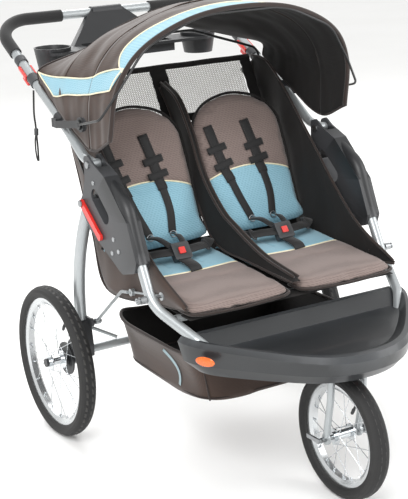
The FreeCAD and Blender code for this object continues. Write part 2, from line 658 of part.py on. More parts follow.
crown_z = 2 * size("front_wheel_r") + 9
fork_half = size("fork_half")
crown = Part.makeBox(2 * 36, 52, 12, Vector(-36, swivel_y - 26, crown_z))
crown = crown.makeFillet(5, [edge for edge in crown.Edges if abs(edge.tangentAt(0).z) > 0.9])
stem_top = neck_z + 17 + 6
stem = Part.makeCylinder(size("stem_r"), stem_top - crown_z, Vector(0, swivel_y, crown_z), Vector(0, 0, 1))
stem_cap = Part.makeCylinder(size("stem_r") + 5, 4, Vector(0, swivel_y, neck_z + 17 + 0.3), Vector(0, 0, 1))
fork_legs = []
for sign in (-1, 1):
    leg_path = bent_path([
        Vector(24, swivel_y, crown_z + 3), Vector(fork_half, swivel_y, crown_z - 8),
        Vector(fork_half, swivel_y + 3, crown_z - 60), Vector(fork_half, front_axle.y, front_axle.z + 6)], [14, 120])
    leg = rod(leg_path, 8.5)
    dropout = Part.makeCylinder(14, 6, Vector(fork_half - 3, front_axle.y, front_axle.z), Vector(1, 0, 0))
    fork_legs.append(on_side(leg.fuse(dropout), sign))
axle_clear = Part.makeCylinder(6.3, 200, front_axle - Vector(100, 0, 0), Vector(1, 0, 0))
shaped("front_fork", crown.fuse([stem, stem_cap] + fork_legs).cut(axle_clear))

axle_half = fork_half + 14
skewer = Part.makeCylinder(6, 2 * axle_half, front_axle - Vector(axle_half, 0, 0), Vector(1, 0, 0))
nut_place = front_axle + Vector(axle_half - 1, 0, 0)
skewer_nut = Part.makeCylinder(11, 8, nut_place, Vector(1, 0, 0))
shaped("front_axle", skewer.fuse(skewer_nut))

lever_root = front_axle - Vector(axle_half + 12, 0, 0)
cam = Part.makeCylinder(6, 8, lever_root, Vector(1, 0, 0))
blade = Part.makeBox(6, 44, 12, lever_root + Vector(1, 2, -6))
blade = blade.makeFillet(2.5, blade.Edges)
shaped("quick_release_lever", cam.fuse(blade))

knob_place = Vector(30, swivel_y - 32, crown_z + 6)
knob_stem = Part.makeCylinder(3.2, 9, knob_place + Vector(0, 5.7, 0), Vector(0, -1, 0))
knob_grip = Part.makeBox(22, 8, 9, knob_place + Vector(-11, -11, -4.5))
knob_grip = knob_grip.makeFillet(3, knob_grip.Edges)
shaped("swivel_knob", knob_stem.fuse(knob_grip))

# ---------------------------------------------------------------- handle

rise = size("handle_rise")
clip = Vector(0, size("clip_y"), size("clip_z"))


def on_handle(across, along):
    """A point of the handle's plane: across from the middle, along in Y."""
    return Vector(across, along, clip.z + rise * (along - clip.y))


handle_low = fold_pivot + Vector(0, 54, 7)
collar_at = on_handle(side_x, size("collar_y"))
up_handle = (on_handle(0, 100) - on_handle(0, 0)).normalize()
side_tube_path = bent_path(
    [beside + fold_pivot, beside + handle_low, on_handle(side_x, clip.y), collar_at - up_handle * 0.3], [60, 400])
corner = on_handle(side_x, size("handle_rear_y"))
bar_points = [collar_at + up_handle * 0.3, corner, Vector(-corner.x, corner.y, corner.z)]
bar_points.append(Vector(-collar_at.x, collar_at.y, collar_at.z) + up_handle * 0.3)
bend = size("handle_bend_r")
handle_path = bent_path(bar_points, [bend, bend])
for side, sign in SIDES.items():
    shape = tube(side_tube_path, size("tube_r"), size("tube_wall"))
    eye = Part.makeCylinder(size("tube_r"), 2 * size("tube_r"), beside + fold_pivot - Vector(size("tube_r"), 0, 0),
                            Vector(1, 0, 0))
    hole = Part.makeCylinder(size("pin_r") + size("run_gap"), 60, beside + fold_pivot - Vector(30, 0, 0),
                             Vector(1, 0, 0))
    shaped(f"handle_tube_{side}", on_side(shape.fuse(eye).cut(hole), sign))
shaped("handle_bar", tube(handle_path, size("tube_r"), size("tube_wall")))

grip_pieces = []
for sign in (-1, 1):
    grip_path = bent_path(
        [on_handle(side_x, size("grip_start_y")), corner, on_handle(size("grip_inner"), size("handle_rear_y"))],
        [bend])
    sleeve_shape = rod(grip_path, size("grip_r")).cut(rod(grip_path, size("tube_r") + 0.1))
    grip_pieces.append(on_side(sleeve_shape, sign))
shaped("handle_grips", Part.makeCompound(grip_pieces))

# black collars over the joints of the side tubes and the handle bar
collar_pieces = []
for sign in (-1, 1):
    for start, long in ((-15, 30), (74, 22)):
        collar = Part.makeCylinder(size("tube_r") + 3, long, collar_at + up_handle * start, up_handle)
        bore = Part.makeCylinder(size("tube_r") + 0.1, long, collar_at + up_handle * start, up_handle)
        collar_pieces.append(on_side(collar.cut(bore), sign))
shaped("handle_collars", Part.makeCompound(collar_pieces))

# red release latches: a saddle over the tube with a trigger below, turning about a cross pin
out_of_handle = up_handle.cross(Vector(1, 0, 0)).normalize()
for side, sign in SIDES.items():
    base = collar_at + up_handle * 17
    shell = Part.makeCylinder(size("tube_r") + 5.5, 46, base, up_handle)
    shell = shell.cut(Part.makeCylinder(size("tube_r") + 1.0, 46, base, up_handle))
    open_side = Part.makeBox(60, 60, 60)
    open_side.Placement = Placement(base + Vector(-30, 0, 0), Rotation(Vector(1, 0, 0), math.degrees(
        math.atan2(up_handle.z, up_handle.y)))).multiply(Placement(Vector(0, 0, 3), Rotation()))
    trigger = Part.makeBox(14, 34, 16)
    trigger = trigger.makeFillet(4, trigger.Edges)
    trigger.Placement = Placement(base + Vector(-7, 0, 0), Rotation(Vector(1, 0, 0), math.degrees(
        math.atan2(up_handle.z, up_handle.y)))).multiply(Placement(Vector(0, 2, -31), Rotation()))
    shaped(f"release_latch_{side}", on_side(shell.cut(open_side).fuse(trigger), sign))

# ---------------------------------------------------------------- parent tray

tray_mid_y = size("handle_rear_y") - 122
tray_mid_z = on_handle(0, tray_mid_y).z - 18
neck_top = on_handle(0, size("handle_rear_y"))
cup_x = 225
tray_plate = Part.makeBox(520, 110, 8, Vector(-260, tray_mid_y - 55, tray_mid_z))
tray_plate = tray_plate.makeFillet(40, [edge for edge in tray_plate.Edges if abs(edge.tangentAt(0).z) > 0.9])
cups = []
cup_holes = []
for sign in (-1, 1):
    place = Vector(sign * cup_x, tray_mid_y, tray_mid_z - 40)
    cups.append(Part.makeCone(40, 50, 58, place, Vector(0, 0, 1)))
    cup_holes.append(Part.makeCone(36.5, 46.5, 58, place + Vector(0, 0, 4), Vector(0, 0, 1)))
well = Part.makeBox(250, 86, 30, Vector(-125, tray_mid_y - 43, tray_mid_z - 22))
well_hole = Part.makeBox(242, 78, 30, Vector(-121, tray_mid_y - 39, tray_mid_z - 18))
hood_low = Part.makePolygon([Vector(x, tray_mid_y + y, tray_mid_z + 4) for x, y in
                             ((-150, 30), (150, 30), (150, 52), (-150, 52), (-150, 30))])
hood_high = Part.makePolygon([Vector(x, neck_top.y + y, neck_top.z + z) for x, y, z in
                              ((-46, -8, 12), (46, -8, 12), (46, 14, 8), (-46, 14, 8), (-46, -8, 12))])
hood = Part.makeLoft([hood_low, hood_high], True, True)
clamp = Part.makeCylinder(size("tube_r") + 4.5, 92, neck_top - Vector(46, 0, 0), Vector(1, 0, 0))
bar_room = Part.makeCylinder(size("tube_r") + 0.1, 400, neck_top - Vector(200, 0, 0), Vector(1, 0, 0))
shaped("parent_tray", tray_plate.fuse(cups + [well, hood, clamp]).cut(cup_holes + [well_hole, bar_room]))

# ---------------------------------------------------------------- wrist strap

strap_top = on_handle(-side_x, size("collar_y") - 26) - Vector(size("tube_r") + 3.5, 0, 6)
strap_points = [strap_top + Vector(*step) for step in (
    (0, 0, 0), (-1, 2, -30), (-3, 2, -62), (-1, 0, -92), (0, 1, -122), (2, 3, -152), (1, 2, -184))]
strap_radii = [
    0.45 * min((b - a).Length, (c - b).Length)
    / math.tan(math.acos(min(1.0, (b - a).normalize().dot((c - b).normalize()))) / 2)
    for a, b, c in zip(strap_points, strap_points[1:], strap_points[2:])
]
print("wrist strap bends:", [round(radius) for radius in strap_radii])
shaped("wrist_strap", rod(bent_path(strap_points, strap_radii), 2.5))

# ---------------------------------------------------------------- canopy

hub_at = Vector(0, size("canopy_pivot_y"), size("canopy_pivot_z"))
bracket_x = side_x + half_housing + 1.5
bracket_thick = 4
bracket_pieces = []
for sign in (-1, 1):
    arm = Part.Wire([Part.LineSegment(clip, hub_at).toShape()])
    direction = (clip - hub_at).normalize()
    across_arm = direction.cross(Vector(1, 0, 0)).normalize()
    corners = [hub_at + across_arm * 9, clip + across_arm * 9, clip - across_arm * 9, hub_at - across_arm * 9]
    bar = Part.Face(Part.makePolygon(corners + corners[:1])).extrude(Vector(bracket_thick, 0, 0))
    eye = Part.makeCylinder(17, bracket_thick, hub_at, Vector(1, 0, 0))
    piece = bar.fuse(eye)
    piece.translate(Vector(bracket_x, 0, 0))
    band = Part.makeCylinder(size("tube_r") + 3, 24, on_handle(side_x, clip.y + 6), up_handle)
    block = slab(Vector(side_x + 4, clip.y - 6, clip.z - 8), Vector(bracket_x + bracket_thick, clip.y + 20, clip.z + 14))
    hole = Part.makeCylinder(size("tube_r") + 0.1, 90, on_handle(side_x, clip.y - 30), up_handle)
    hub_hole = Part.makeCylinder(4 + size("run_gap"), 40, hub_at + Vector(bracket_x - 10, 0, 0), Vector(1, 0, 0))
    bracket_pieces.append(on_side(piece.fuse([band, block]).cut([hole, hub_hole]), sign))
shaped("canopy_brackets", Part.makeCompound(bracket_pieces))

hub_x = bracket_x + bracket_thick + 0.3
hub_thick = 6
hub_pieces = []
for sign in (-1, 1):
    disc = Part.makeCylinder(18, hub_thick, hub_at + Vector(hub_x, 0, 0), Vector(1, 0, 0))
    axle = Part.makeCylinder(4, hub_thick + bracket_thick + 2, hub_at + Vector(bracket_x - 1, 0, 0), Vector(1, 0, 0))
    spigot = Part.makeCylinder(5, 7, hub_at + Vector(hub_x + hub_thick - 0.5, 0, 0), Vector(1, 0, 0))
    hub_pieces.append(on_side(disc.fuse([axle, spigot]), sign))
shaped("canopy_hubs", Part.makeCompound(hub_pieces))

bow_x = hub_x + hub_thick + 3.3
top = size("canopy_top_z") - 8
front_bow_half = [
    hub_at + Vector(bow_x, 0, 0), hub_at + Vector(bow_x, -115, 27), hub_at + Vector(bow_x - 44, -137, 95),
    Vector(bow_x - 107, -98, top - 68), Vector(120, -110, top - 6),
]
bow_points = front_bow_half + [Vector(-point.x, point.y, point.z) for point in reversed(front_bow_half)]
bow = rod(bent_path(bow_points, [24, 50, 110, 220, 220, 110, 50, 24]), 3)
bow_eyes = []
for sign in (-1, 1):
    eye = Part.makeCylinder(12, 5, hub_at + Vector(bow_x - 2.5, 0, 0), Vector(1, 0, 0))
    bow_eyes.append(on_side(eye, sign))
spigot_holes = [
    on_side(Part.makeCylinder(5 + size("run_gap"), 30, hub_at + Vector(bow_x - 15, 0, 0), Vector(1, 0, 0)), sign)
    for sign in (-1, 1)
]
shaped("canopy_front_bow", bow.fuse(bow_eyes).cut(spigot_holes))

rear_foot = on_handle(0, 330)
bow_foot_x = side_x - size("tube_r") - 3.7
rear_bow_half = [
    rear_foot + Vector(bow_foot_x, -8, 0), rear_foot + Vector(bow_foot_x - 3, -14, 44),
    rear_foot + Vector(bow_foot_x - 79, -14, 70), rear_foot + Vector(100, -16, 115),
]
rear_points = rear_bow_half + [Vector(-point.x, point.y, point.z) for point in reversed(rear_bow_half)]
shaped("canopy_rear_bow", rod(bent_path(rear_points, [40, 60, 120, 120, 60, 40]), 3.5))


# each arch from its foot up to its crown, as shares of its half width and its height
FRONT_ARCH = ((1.0, 0.0), (0.95, 0.40), (0.79, 0.68), (0.45, 0.885), (0.0, 1.0))
CARRIER_ARCH = ((1.0, 0.0), (0.98, 0.42), (0.80, 0.73), (0.45, 0.915), (0.0, 1.0))
MIDDLE_ARCH = ((1.0, 0.0), (0.985, 0.40), (0.78, 0.68), (0.42, 0.89), (0.0, 1.0))
REAR_ARCH = ((1.0, 0.0), (0.985, 0.30), (0.72, 0.51), (0.37, 0.77), (0.0, 1.0))


def arch(shares, foot, crown_top, half):
    """A closed flat arch across the stroller, from its feet up to its crown."""
    right = [Vector(half * across, 0, 0) + foot + (crown_top - foot) * up for across, up in shares]
    points = right + [Vector(-point.x, point.y, point.z) for point in reversed(right[:-1])]
    curve = Part.BSplineCurve()
    curve.interpolate(points)
    return Part.Wire([curve.toShape(), Part.LineSegment(points[-1], points[0]).toShape()])


def canopy_layer(grow, reach):
    """The canopy's body: grow is how far it stands off the lining, reach how far past its front and rear."""
    half = size("canopy_half") + grow
    top_z = size("canopy_top_z") - 3 + grow
    front = Vector(0, -reach, 0)
    return Part.makeLoft([
        arch(FRONT_ARCH, Vector(0, -42, 830) + front, Vector(0, -101, top_z) + front, half),
        arch(CARRIER_ARCH, Vector(0, 60, 790), Vector(0, 50, top_z + 2), half),
        arch(MIDDLE_ARCH, Vector(0, 190, 842), Vector(0, 190, top_z - 20), half),
        arch(REAR_ARCH, Vector(0, 330, 920) - front, Vector(0, 322, top_z - 74) - front, half),
    ], True, True)


canopy_outer = canopy_layer(size("cloth"), 0)
canopy_inner = canopy_layer(0, 2)
canopy_floor = slab(Vector(-size("canopy_half") - 0.5, -160, 700), Vector(size("canopy_half") + 0.5, 420, 883))
shaped("canopy_fabric", canopy_outer.cut(canopy_inner).cut(canopy_floor))

# ---------------------------------------------------------------- seats

seat_half = size("seat_half")
seat_split = size("seat_split")
bight = Vector(0, size("bight_y"), size("bight_z"))
lean = size("back_lean")
for side, sign in SIDES.items():
    pad = slab(Vector(seat_split, size("seat_front_y"), bight.z - size("pad_thick")),
               Vector(seat_half, bight.y - 6, bight.z))
    pad = pad.makeFillet(10, [edge for edge in pad.Edges if abs(edge.tangentAt(0).y) < 0.5])
    pad.rotate(bight, Vector(1, 0, 0), 2.5)
    shaped(f"seat_pad_{side}", on_side(pad, sign))

    back = slab(Vector(seat_split + 4, 0, 0), Vector(seat_half - 4, size("back_long"), size("back_thick")))
    crown_edges = [edge for edge in back.Edges
                   if abs(edge.tangentAt(0).z) > 0.9 and edge.CenterOfMass.y > size("back_long") - 1]
    back = back.makeFillet(90, crown_edges)
    back.Placement = Placement(bight + Vector(0, 3, 8), Rotation(Vector(1, 0, 0), lean)).multiply(
        Placement(Vector(0, 0, -size("back_thick") + 12), Rotation()))
    shaped(f"seat_back_{side}", on_side(back, sign))

# brown side panels between the seats and the side frames
panel_pieces = []
for sign in (-1, 1):
    outline = [Vector(0, -300, 470), Vector(0, -180, 452), Vector(0, 100, 420), Vector(0, 170, 560),
               Vector(0, 290, 830), Vector(0, 250, 842), Vector(0, 60, 745), Vector(0, -130, 560)]
    face = Part.Face(Part.makePolygon(outline + outline[:1]))
    panel = face.extrude(Vector(2.5, 0, 0))
    panel.translate(Vector(seat_half + 1.5, 0, 0))
    panel_pieces.append(on_side(panel, sign))
shaped("side_panels", Part.makeCompound(panel_pieces))

# upper back with the mesh windows, and the divider between the seats
upper_back = slab(Vector(-seat_half, 0, 0), Vector(seat_half, 4, 150))
upper_back.Placement = Placement(Vector(0, 262, 790), Rotation(Vector(1, 0, 0), -28))
divider_outline = [Vector(-2, 262, 800), Vector(-2, 300, 884), Vector(-2, 240, 850), Vector(-2, -60, 640),
                   Vector(-2, -300, 512), Vector(-2, 40, 505), Vector(-2, 120, 590)]
divider = Part.Face(Part.makePolygon(divider_outline + divider_outline[:1])).extrude(Vector(4, 0, 0))
shaped("back_panel", upper_back.fuse(divider))

# harness: webbing over each seat, its buckle and the buckle's button
webbing = []
for side, sign in SIDES.items():
    centre_x = (seat_half + seat_split) / 2
    buckle_at = Vector(centre_x, bight.y - 108, bight.z + 22)
    straps = []
    for offset in (-48, 48):
        shoulder = Vector(centre_x + offset, bight.y + 81, bight.z + 268)
        path = Part.Wire([Part.LineSegment(shoulder, buckle_at + Vector(offset * 0.35, 8, 18)).toShape()])
        straps.append(rod(path, 5))
        hip = Vector(centre_x + offset * 2.4, bight.y - 60, bight.z + 12)
        path = Part.Wire([Part.LineSegment(hip, buckle_at + Vector(offset * 0.55, 6, 0)).toShape()])
        straps.append(rod(path, 5))
    webbing.append(on_side(Part.makeCompound(straps), sign))

    shell = slab(Vector(-24, -10, -22), Vector(24, 8, 22))
    shell = shell.makeFillet(4, [edge for edge in shell.Edges if abs(edge.tangentAt(0).y) > 0.9])
    well_hole = slab(Vector(-9, -10.5, -9), Vector(9, -4, 9))
    tilt = Placement(buckle_at, Rotation(Vector(1, 0, 0), -38))
    shaped(f"buckle_{side}", on_side(shell.cut(well_hole).transformGeometry(tilt.toMatrix()), sign))
    button = slab(Vector(-8.5, -12.5, -8.5), Vector(8.5, -6.5, 8.5))
    button = button.makeFillet(2, [edge for edge in button.Edges if abs(edge.tangentAt(0).y) > 0.9])
    shaped(f"buckle_button_{side}", on_side(button.transformGeometry(tilt.toMatrix()), sign))
shaped("harness_webbing", Part.makeCompound(webbing))

# ---------------------------------------------------------------- fold levers

for side, sign in SIDES.items():
    lever_x = side_x + half_housing + size("slide_gap")
    end = leg_pivot + Vector(0, -88, -66)
    top_disc = Part.makeCylinder(10, size("lever_thick"), leg_pivot, Vector(1, 0, 0))
    low_disc = Part.makeCylinder(9, size("lever_thick"), end, Vector(1, 0, 0))
    run = (end - leg_pivot).normalize()
    wide = run.cross(Vector(1, 0, 0)).normalize()
    corners = [leg_pivot + wide * 9, end + wide * 8, end - wide * 8, leg_pivot - wide * 9]
    arm = Part.Face(Part.makePolygon(corners + corners[:1])).extrude(Vector(size("lever_thick"), 0, 0))
    lever = top_disc.fuse([low_disc, arm])
    hole = Part.makeCylinder(size("pin_r") + size("run_gap"), 40, leg_pivot - Vector(10, 0, 0), Vector(1, 0, 0))
    lever = lever.cut(hole)
    lever.translate(Vector(lever_x, 0, 0))
    shaped(f"fold_lever_{side}", on_side(lever, sign))

# ---------------------------------------------------------------- basket

def basket_ring(height, inset):
    """One level of the basket: it narrows towards its floor and its front."""
    low = (height - size("basket_low_z")) / (size("basket_rim_z") - size("basket_low_z"))
    half = size("basket_half") - inset - 34 * (1 - low)
    rear = size("basket_rear_y") - inset - 10 * (1 - low)
    front = size("basket_front_y") + inset + 6 * (1 - low)
    corner_r = 30
    face = Part.makePlane(2 * half, rear - front, Vector(-half, front, height))
    solid = face.extrude(Vector(0, 0, 1))
    solid = solid.makeFillet(corner_r, [edge for edge in solid.Edges if abs(edge.tangentAt(0).z) > 0.9])
    bottom = min(solid.Faces, key=lambda side_face: side_face.CenterOfMass.z)
    return bottom.OuterWire


low_z, rim_z = size("basket_low_z"), size("basket_rim_z")
wall = size("basket_wall")
basket_outer = Part.makeLoft([basket_ring(low_z, 0), basket_ring(rim_z, 0)], True, True)
basket_inner = Part.makeLoft([basket_ring(low_z + wall, wall), basket_ring(rim_z + 1, wall)], True, True)
shaped("basket", basket_outer.cut(basket_inner))

# ---------------------------------------------------------------- check and export

doc.recompute()
for item in doc.Objects:
    if "Invalid" in item.State or "Error" in item.State:
        raise RuntimeError(f"{item.Label} failed: {item.State}")
os.makedirs("parts", exist_ok=True)
for piece in sub_parts:
    if piece.Shape.isNull() or not piece.Shape.isValid():
        raise RuntimeError(f"{piece.Label} has no valid shape")
    piece.Shape.exportStep(f"parts/{piece.Label}.step")
print(len(sub_parts), "sub-parts written")
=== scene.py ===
"""Double jogging stroller: its cloth, harness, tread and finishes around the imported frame, and the studio."""
import logging
import math
from dataclasses import dataclass, field
from enum import Enum
from typing import Any, Callable, Optional, Sequence

import bmesh
import bpy
import numpy as np
from mathutils import Matrix, Vector, noise
from mathutils.bvhtree import BVHTree


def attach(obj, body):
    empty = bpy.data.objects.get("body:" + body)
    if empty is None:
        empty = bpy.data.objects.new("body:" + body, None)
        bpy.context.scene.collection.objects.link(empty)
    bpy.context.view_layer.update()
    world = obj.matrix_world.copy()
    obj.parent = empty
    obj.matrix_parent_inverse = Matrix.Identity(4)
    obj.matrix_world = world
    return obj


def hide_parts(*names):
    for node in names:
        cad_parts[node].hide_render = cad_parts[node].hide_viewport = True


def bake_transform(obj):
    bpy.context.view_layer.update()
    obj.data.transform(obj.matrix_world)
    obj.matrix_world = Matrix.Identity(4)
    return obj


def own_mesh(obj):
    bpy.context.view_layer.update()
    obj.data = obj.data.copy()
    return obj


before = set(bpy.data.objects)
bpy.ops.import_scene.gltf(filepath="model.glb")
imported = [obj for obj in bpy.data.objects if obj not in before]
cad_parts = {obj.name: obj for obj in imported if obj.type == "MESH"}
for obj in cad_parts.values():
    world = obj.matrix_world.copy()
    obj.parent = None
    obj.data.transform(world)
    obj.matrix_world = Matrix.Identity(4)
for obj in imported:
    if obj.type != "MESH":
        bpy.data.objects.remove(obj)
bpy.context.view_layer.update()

MM = 0.001
LOG = logging.getLogger("stroller")
Point = Sequence[float]


class Side(Enum):
    """The two sides of the stroller, by the sign of X."""

    LEFT = -1
    RIGHT = 1


# ---------------------------------------------------------------- finishes


def srgb(code: str) -> tuple[float, float, float, float]:
    """Turns an sRGB hex colour to linear.

    Args:
        code: six hex digits, with or without a leading #.

    Returns:
        Linear red, green, blue and an alpha of 1.
    """
    code = code.lstrip("#")
    shares = [int(code[start:start + 2], 16) / 255 for start in (0, 2, 4)]
    linear = [share / 12.92 if share <= 0.04045 else ((share + 0.055) / 1.055) ** 2.4 for share in shares]
    return (linear[0], linear[1], linear[2], 1.0)


def add_node(tree: bpy.types.NodeTree, kind: str, values: Optional[dict[Any, Any]] = None,
             **settings: Any) -> bpy.types.Node:
    """Adds one node to a tree, with its settings and links.

    Args:
        tree: the shader or geometry tree.
        kind: the node's type name.
        values: for each input, by name or number, a value or the socket that feeds it.
        settings: attributes of the node itself.

    Returns:
        The new node.
    """
    made = tree.nodes.new(kind)
    for name, value in settings.items():
        setattr(made, name, value)
    for socket, value in (values or {}).items():
        if isinstance(value, bpy.types.NodeSocket):
            tree.links.new(value, made.inputs[socket])
        else:
            made.inputs[socket].default_value = value
    return made


class Pattern(Enum):
    """How a finish's surface is made."""

    GRAIN = "grain"
    TWILL = "twill"
    PLAIN_WEAVE = "plain_weave"
    RIBBED = "ribbed"
    CELLS = "cells"
    BRUSHED = "brushed"


@dataclass(frozen=True)
class Finish:
    """One real finish: its colours, its gloss and the relief of its surface.

    The pattern's pitch is in millimetres. A cloth's pitch is several times the real thread spacing of about 0.6 mm,
    because the real one is too fine to show.
    """

    name: str
    colour: str
    deep: str
    pattern: Pattern
    pitch_mm: float
    relief_mm: float
    roughness: float
    metallic: float = 0.0
    sheen: float = 0.0
    coat: float = 0.0
    blotch_mm: float = 90.0
    worn: str = ""
    specular: float = 0.5

    def height(self, tree: bpy.types.NodeTree, place: bpy.types.NodeSocket) -> bpy.types.NodeSocket:
        """Builds the surface pattern.

        Args:
            tree: the material's node tree.
            place: the position that the pattern follows, in metres.

        Returns:
            A socket from 0, low, to 1, high.
        """
        waves = 0.314 / (self.pitch_mm * MM)
        if self.pattern in (Pattern.GRAIN, Pattern.BRUSHED):
            stretch = (0.06, 1.0, 1.0) if self.pattern is Pattern.BRUSHED else (1.0, 1.0, 1.0)
            laid = add_node(tree, "ShaderNodeMapping", {"Vector": place, "Scale": stretch})
            grain = add_node(tree, "ShaderNodeTexNoise", {
                "Vector": laid.outputs[0], "Scale": 1 / (self.pitch_mm * MM), "Detail": 3.0})
            return grain.outputs["Fac"]
        if self.pattern is Pattern.CELLS:
            cells = add_node(tree, "ShaderNodeTexVoronoi", {"Vector": place, "Scale": 1 / (self.pitch_mm * MM)})
            return cells.outputs["Distance"]
        if self.pattern is Pattern.RIBBED:
            ribs = add_node(tree, "ShaderNodeTexWave", {"Vector": place, "Scale": waves, "Distortion": 0.4},
                            bands_direction="Z")
            return ribs.outputs["Fac"]
        first = "DIAGONAL" if self.pattern is Pattern.TWILL else "X"
        threads = [
            add_node(tree, "ShaderNodeTexWave", {"Vector": place, "Scale": waves * scale, "Distortion": 1.2,
                                                 "Detail Scale": 3.0}, bands_direction=direction)
            for direction, scale in ((first, 1.0), ("Z", 1.0))
        ]
        crossed = add_node(tree, "ShaderNodeMath", {0: threads[0].outputs["Fac"], 1: threads[1].outputs["Fac"]},
                           operation="MULTIPLY" if self.pattern is Pattern.PLAIN_WEAVE else "ADD")
        return crossed.outputs[0]

    def base(self, tree: bpy.types.NodeTree, place: bpy.types.NodeSocket,
             relief: bpy.types.NodeSocket) -> bpy.types.NodeSocket:
        """Mixes the finish's colours over the surface.

        Args:
            tree: the material's node tree.
            place: the position in metres.
            relief: the pattern's height.

        Returns:
            The colour socket.
        """
        return self.mottled(tree, place, relief, self.colour, self.deep)

    def mottled(self, tree: bpy.types.NodeTree, place: bpy.types.NodeSocket, relief: bpy.types.NodeSocket,
                light: str, dark: str) -> bpy.types.NodeSocket:
        """Mixes two shades of one colour by the pattern and by broad soft blotches."""
        blotch = add_node(tree, "ShaderNodeTexNoise", {
            "Vector": place, "Scale": 1 / (self.blotch_mm * MM), "Detail": 4.0})
        share = add_node(tree, "ShaderNodeMath", {0: blotch.outputs["Fac"], 1: relief}, operation="MULTIPLY")
        spread = add_node(tree, "ShaderNodeMapRange", {"Value": share.outputs[0], "From Min": 0.1, "From Max": 0.55})
        mixed = add_node(tree, "ShaderNodeMix", {
            "Factor": spread.outputs[0], 6: srgb(dark), 7: srgb(light)}, data_type="RGBA")
        return mixed.outputs[2]

    def make(self) -> bpy.types.Material:
        """Builds the material, once, and returns it."""
        known = bpy.data.materials.get(self.name)
        if known is not None:
            return known
        material = bpy.data.materials.new(self.name)
        material.use_nodes = True
        tree = material.node_tree
        tree.nodes.clear()
        place = add_node(tree, "ShaderNodeTexCoord").outputs["Object"]
        relief = self.height(tree, place)
        colour = self.base(tree, place, relief)
        if self.worn:
            edge = add_node(tree, "ShaderNodeNewGeometry")
            sharp = add_node(tree, "ShaderNodeMapRange", {
                "Value": edge.outputs["Pointiness"], "From Min": 0.53, "From Max": 0.62, "To Max": 0.55})
            colour = add_node(tree, "ShaderNodeMix", {
                "Factor": sharp.outputs[0], 6: colour, 7: srgb(self.worn)}, data_type="RGBA").outputs[2]
        rough = add_node(tree, "ShaderNodeMapRange", {
            "Value": relief, "To Min": self.roughness - 0.06, "To Max": min(1.0, self.roughness + 0.06)})
        bump = add_node(tree, "ShaderNodeBump", {
            "Height": relief, "Distance": self.relief_mm * MM, "Strength": 0.8})
        shader = add_node(tree, "ShaderNodeBsdfPrincipled", {
            "Base Color": colour, "Roughness": rough.outputs[0], "Normal": bump.outputs[0],
            "Metallic": self.metallic, "Sheen Weight": self.sheen, "Coat Weight": self.coat,
            "Specular IOR Level": self.specular})
        add_node(tree, "ShaderNodeOutputMaterial", {"Surface": shader.outputs[0]})
        return material


@dataclass(frozen=True)
class TwoToneFinish(Finish):
    """A cloth pieced from two colours along one curved seam, the same on both seats.

    A point is on the second colour where its height along `along` passes the seam's.
    """

    second: str = "#7b6d69"
    second_deep: str = "#665955"
    along: tuple[float, float, float] = (0.0, 0.0, 1.0)
    level: float = 0.0
    bow: float = 0.0
    centre: float = 0.153

    def base(self, tree: bpy.types.NodeTree, place: bpy.types.NodeSocket,
             relief: bpy.types.NodeSocket) -> bpy.types.NodeSocket:
        """Mixes both cloths' colours and joins them at the seam."""
        lower = self.mottled(tree, place, relief, self.colour, self.deep)
        upper = self.mottled(tree, place, relief, self.second, self.second_deep)
        reach = add_node(tree, "ShaderNodeVectorMath", {0: place, 1: self.along}, operation="DOT_PRODUCT")
        parts = add_node(tree, "ShaderNodeSeparateXYZ", {0: place})
        half = add_node(tree, "ShaderNodeMath", {0: parts.outputs["X"]}, operation="ABSOLUTE")
        offset = add_node(tree, "ShaderNodeMath", {0: half.outputs[0], 1: self.centre}, operation="SUBTRACT")
        square = add_node(tree, "ShaderNodeMath", {0: offset.outputs[0], 1: 2.0}, operation="POWER")
        seam = add_node(tree, "ShaderNodeMath", {
            0: square.outputs[0], 1: self.bow, 2: reach.outputs["Value"]}, operation="MULTIPLY_ADD")
        past = add_node(tree, "ShaderNodeMath", {0: seam.outputs[0], 1: self.level}, operation="GREATER_THAN")
        mixed = add_node(tree, "ShaderNodeMix", {"Factor": past.outputs[0], 6: lower, 7: upper}, data_type="RGBA")
        return mixed.outputs[2]


BACK_LEAN = math.radians(69)
BACK_UP = Vector((0, math.cos(BACK_LEAN), math.sin(BACK_LEAN)))
BACK_OUT = Vector((0, -math.sin(BACK_LEAN), math.cos(BACK_LEAN)))
BACK_START = Vector((0, 0.0738, 0.5103))
BACK_SEAM = 0.168
BACK_BOW = 1.5
SEAT_SEAM = -0.094
SEAT_BOW = 0.7

# powder coat over aluminium: even satin silver-grey with a fine orange peel
SILVER = Finish("silver_powder_coat", "#b4b8ba", "#a3a8aa", Pattern.GRAIN, 1.6, 0.02, 0.34, metallic=0.55, coat=0.25)
# moulded glass-filled nylon: near-black, satin, faint spark-eroded grain that catches soft highlights
NYLON = Finish("moulded_nylon", "#27282a", "#1d1e20", Pattern.GRAIN, 1.4, 0.05, 0.42, worn="#4a4b4e")
# blow-moulded polyethylene: charcoal with a smoother, waxier gloss
TRAY_PLASTIC = Finish("blow_moulded_polyethylene", "#2a2c2e", "#202224", Pattern.GRAIN, 2.2, 0.06, 0.36, coat=0.15,
                      worn="#55585c")
# zinc-plated steel: grey with a soft gleam
STEEL = Finish("zinc_plated_steel", "#b9bbbd", "#8f9294", Pattern.BRUSHED, 0.9, 0.01, 0.3, metallic=1.0)
# chromed steel: bright and sharp
CHROME = Finish("chrome_plate", "#dcdfe1", "#c5c9cc", Pattern.GRAIN, 4.0, 0.004, 0.12, metallic=1.0)
# polished aluminium: white-silver with a faint turned grain
RIM_ALLOY = Finish("polished_aluminium", "#d9dbdc", "#c2c5c7", Pattern.BRUSHED, 1.1, 0.01, 0.24, metallic=0.85)
# vulcanised rubber: matt black with dust in its grain
RUBBER = Finish("tyre_rubber", "#1e1e1f", "#121213", Pattern.GRAIN, 1.1, 0.12, 0.72, worn="#4b4a48")
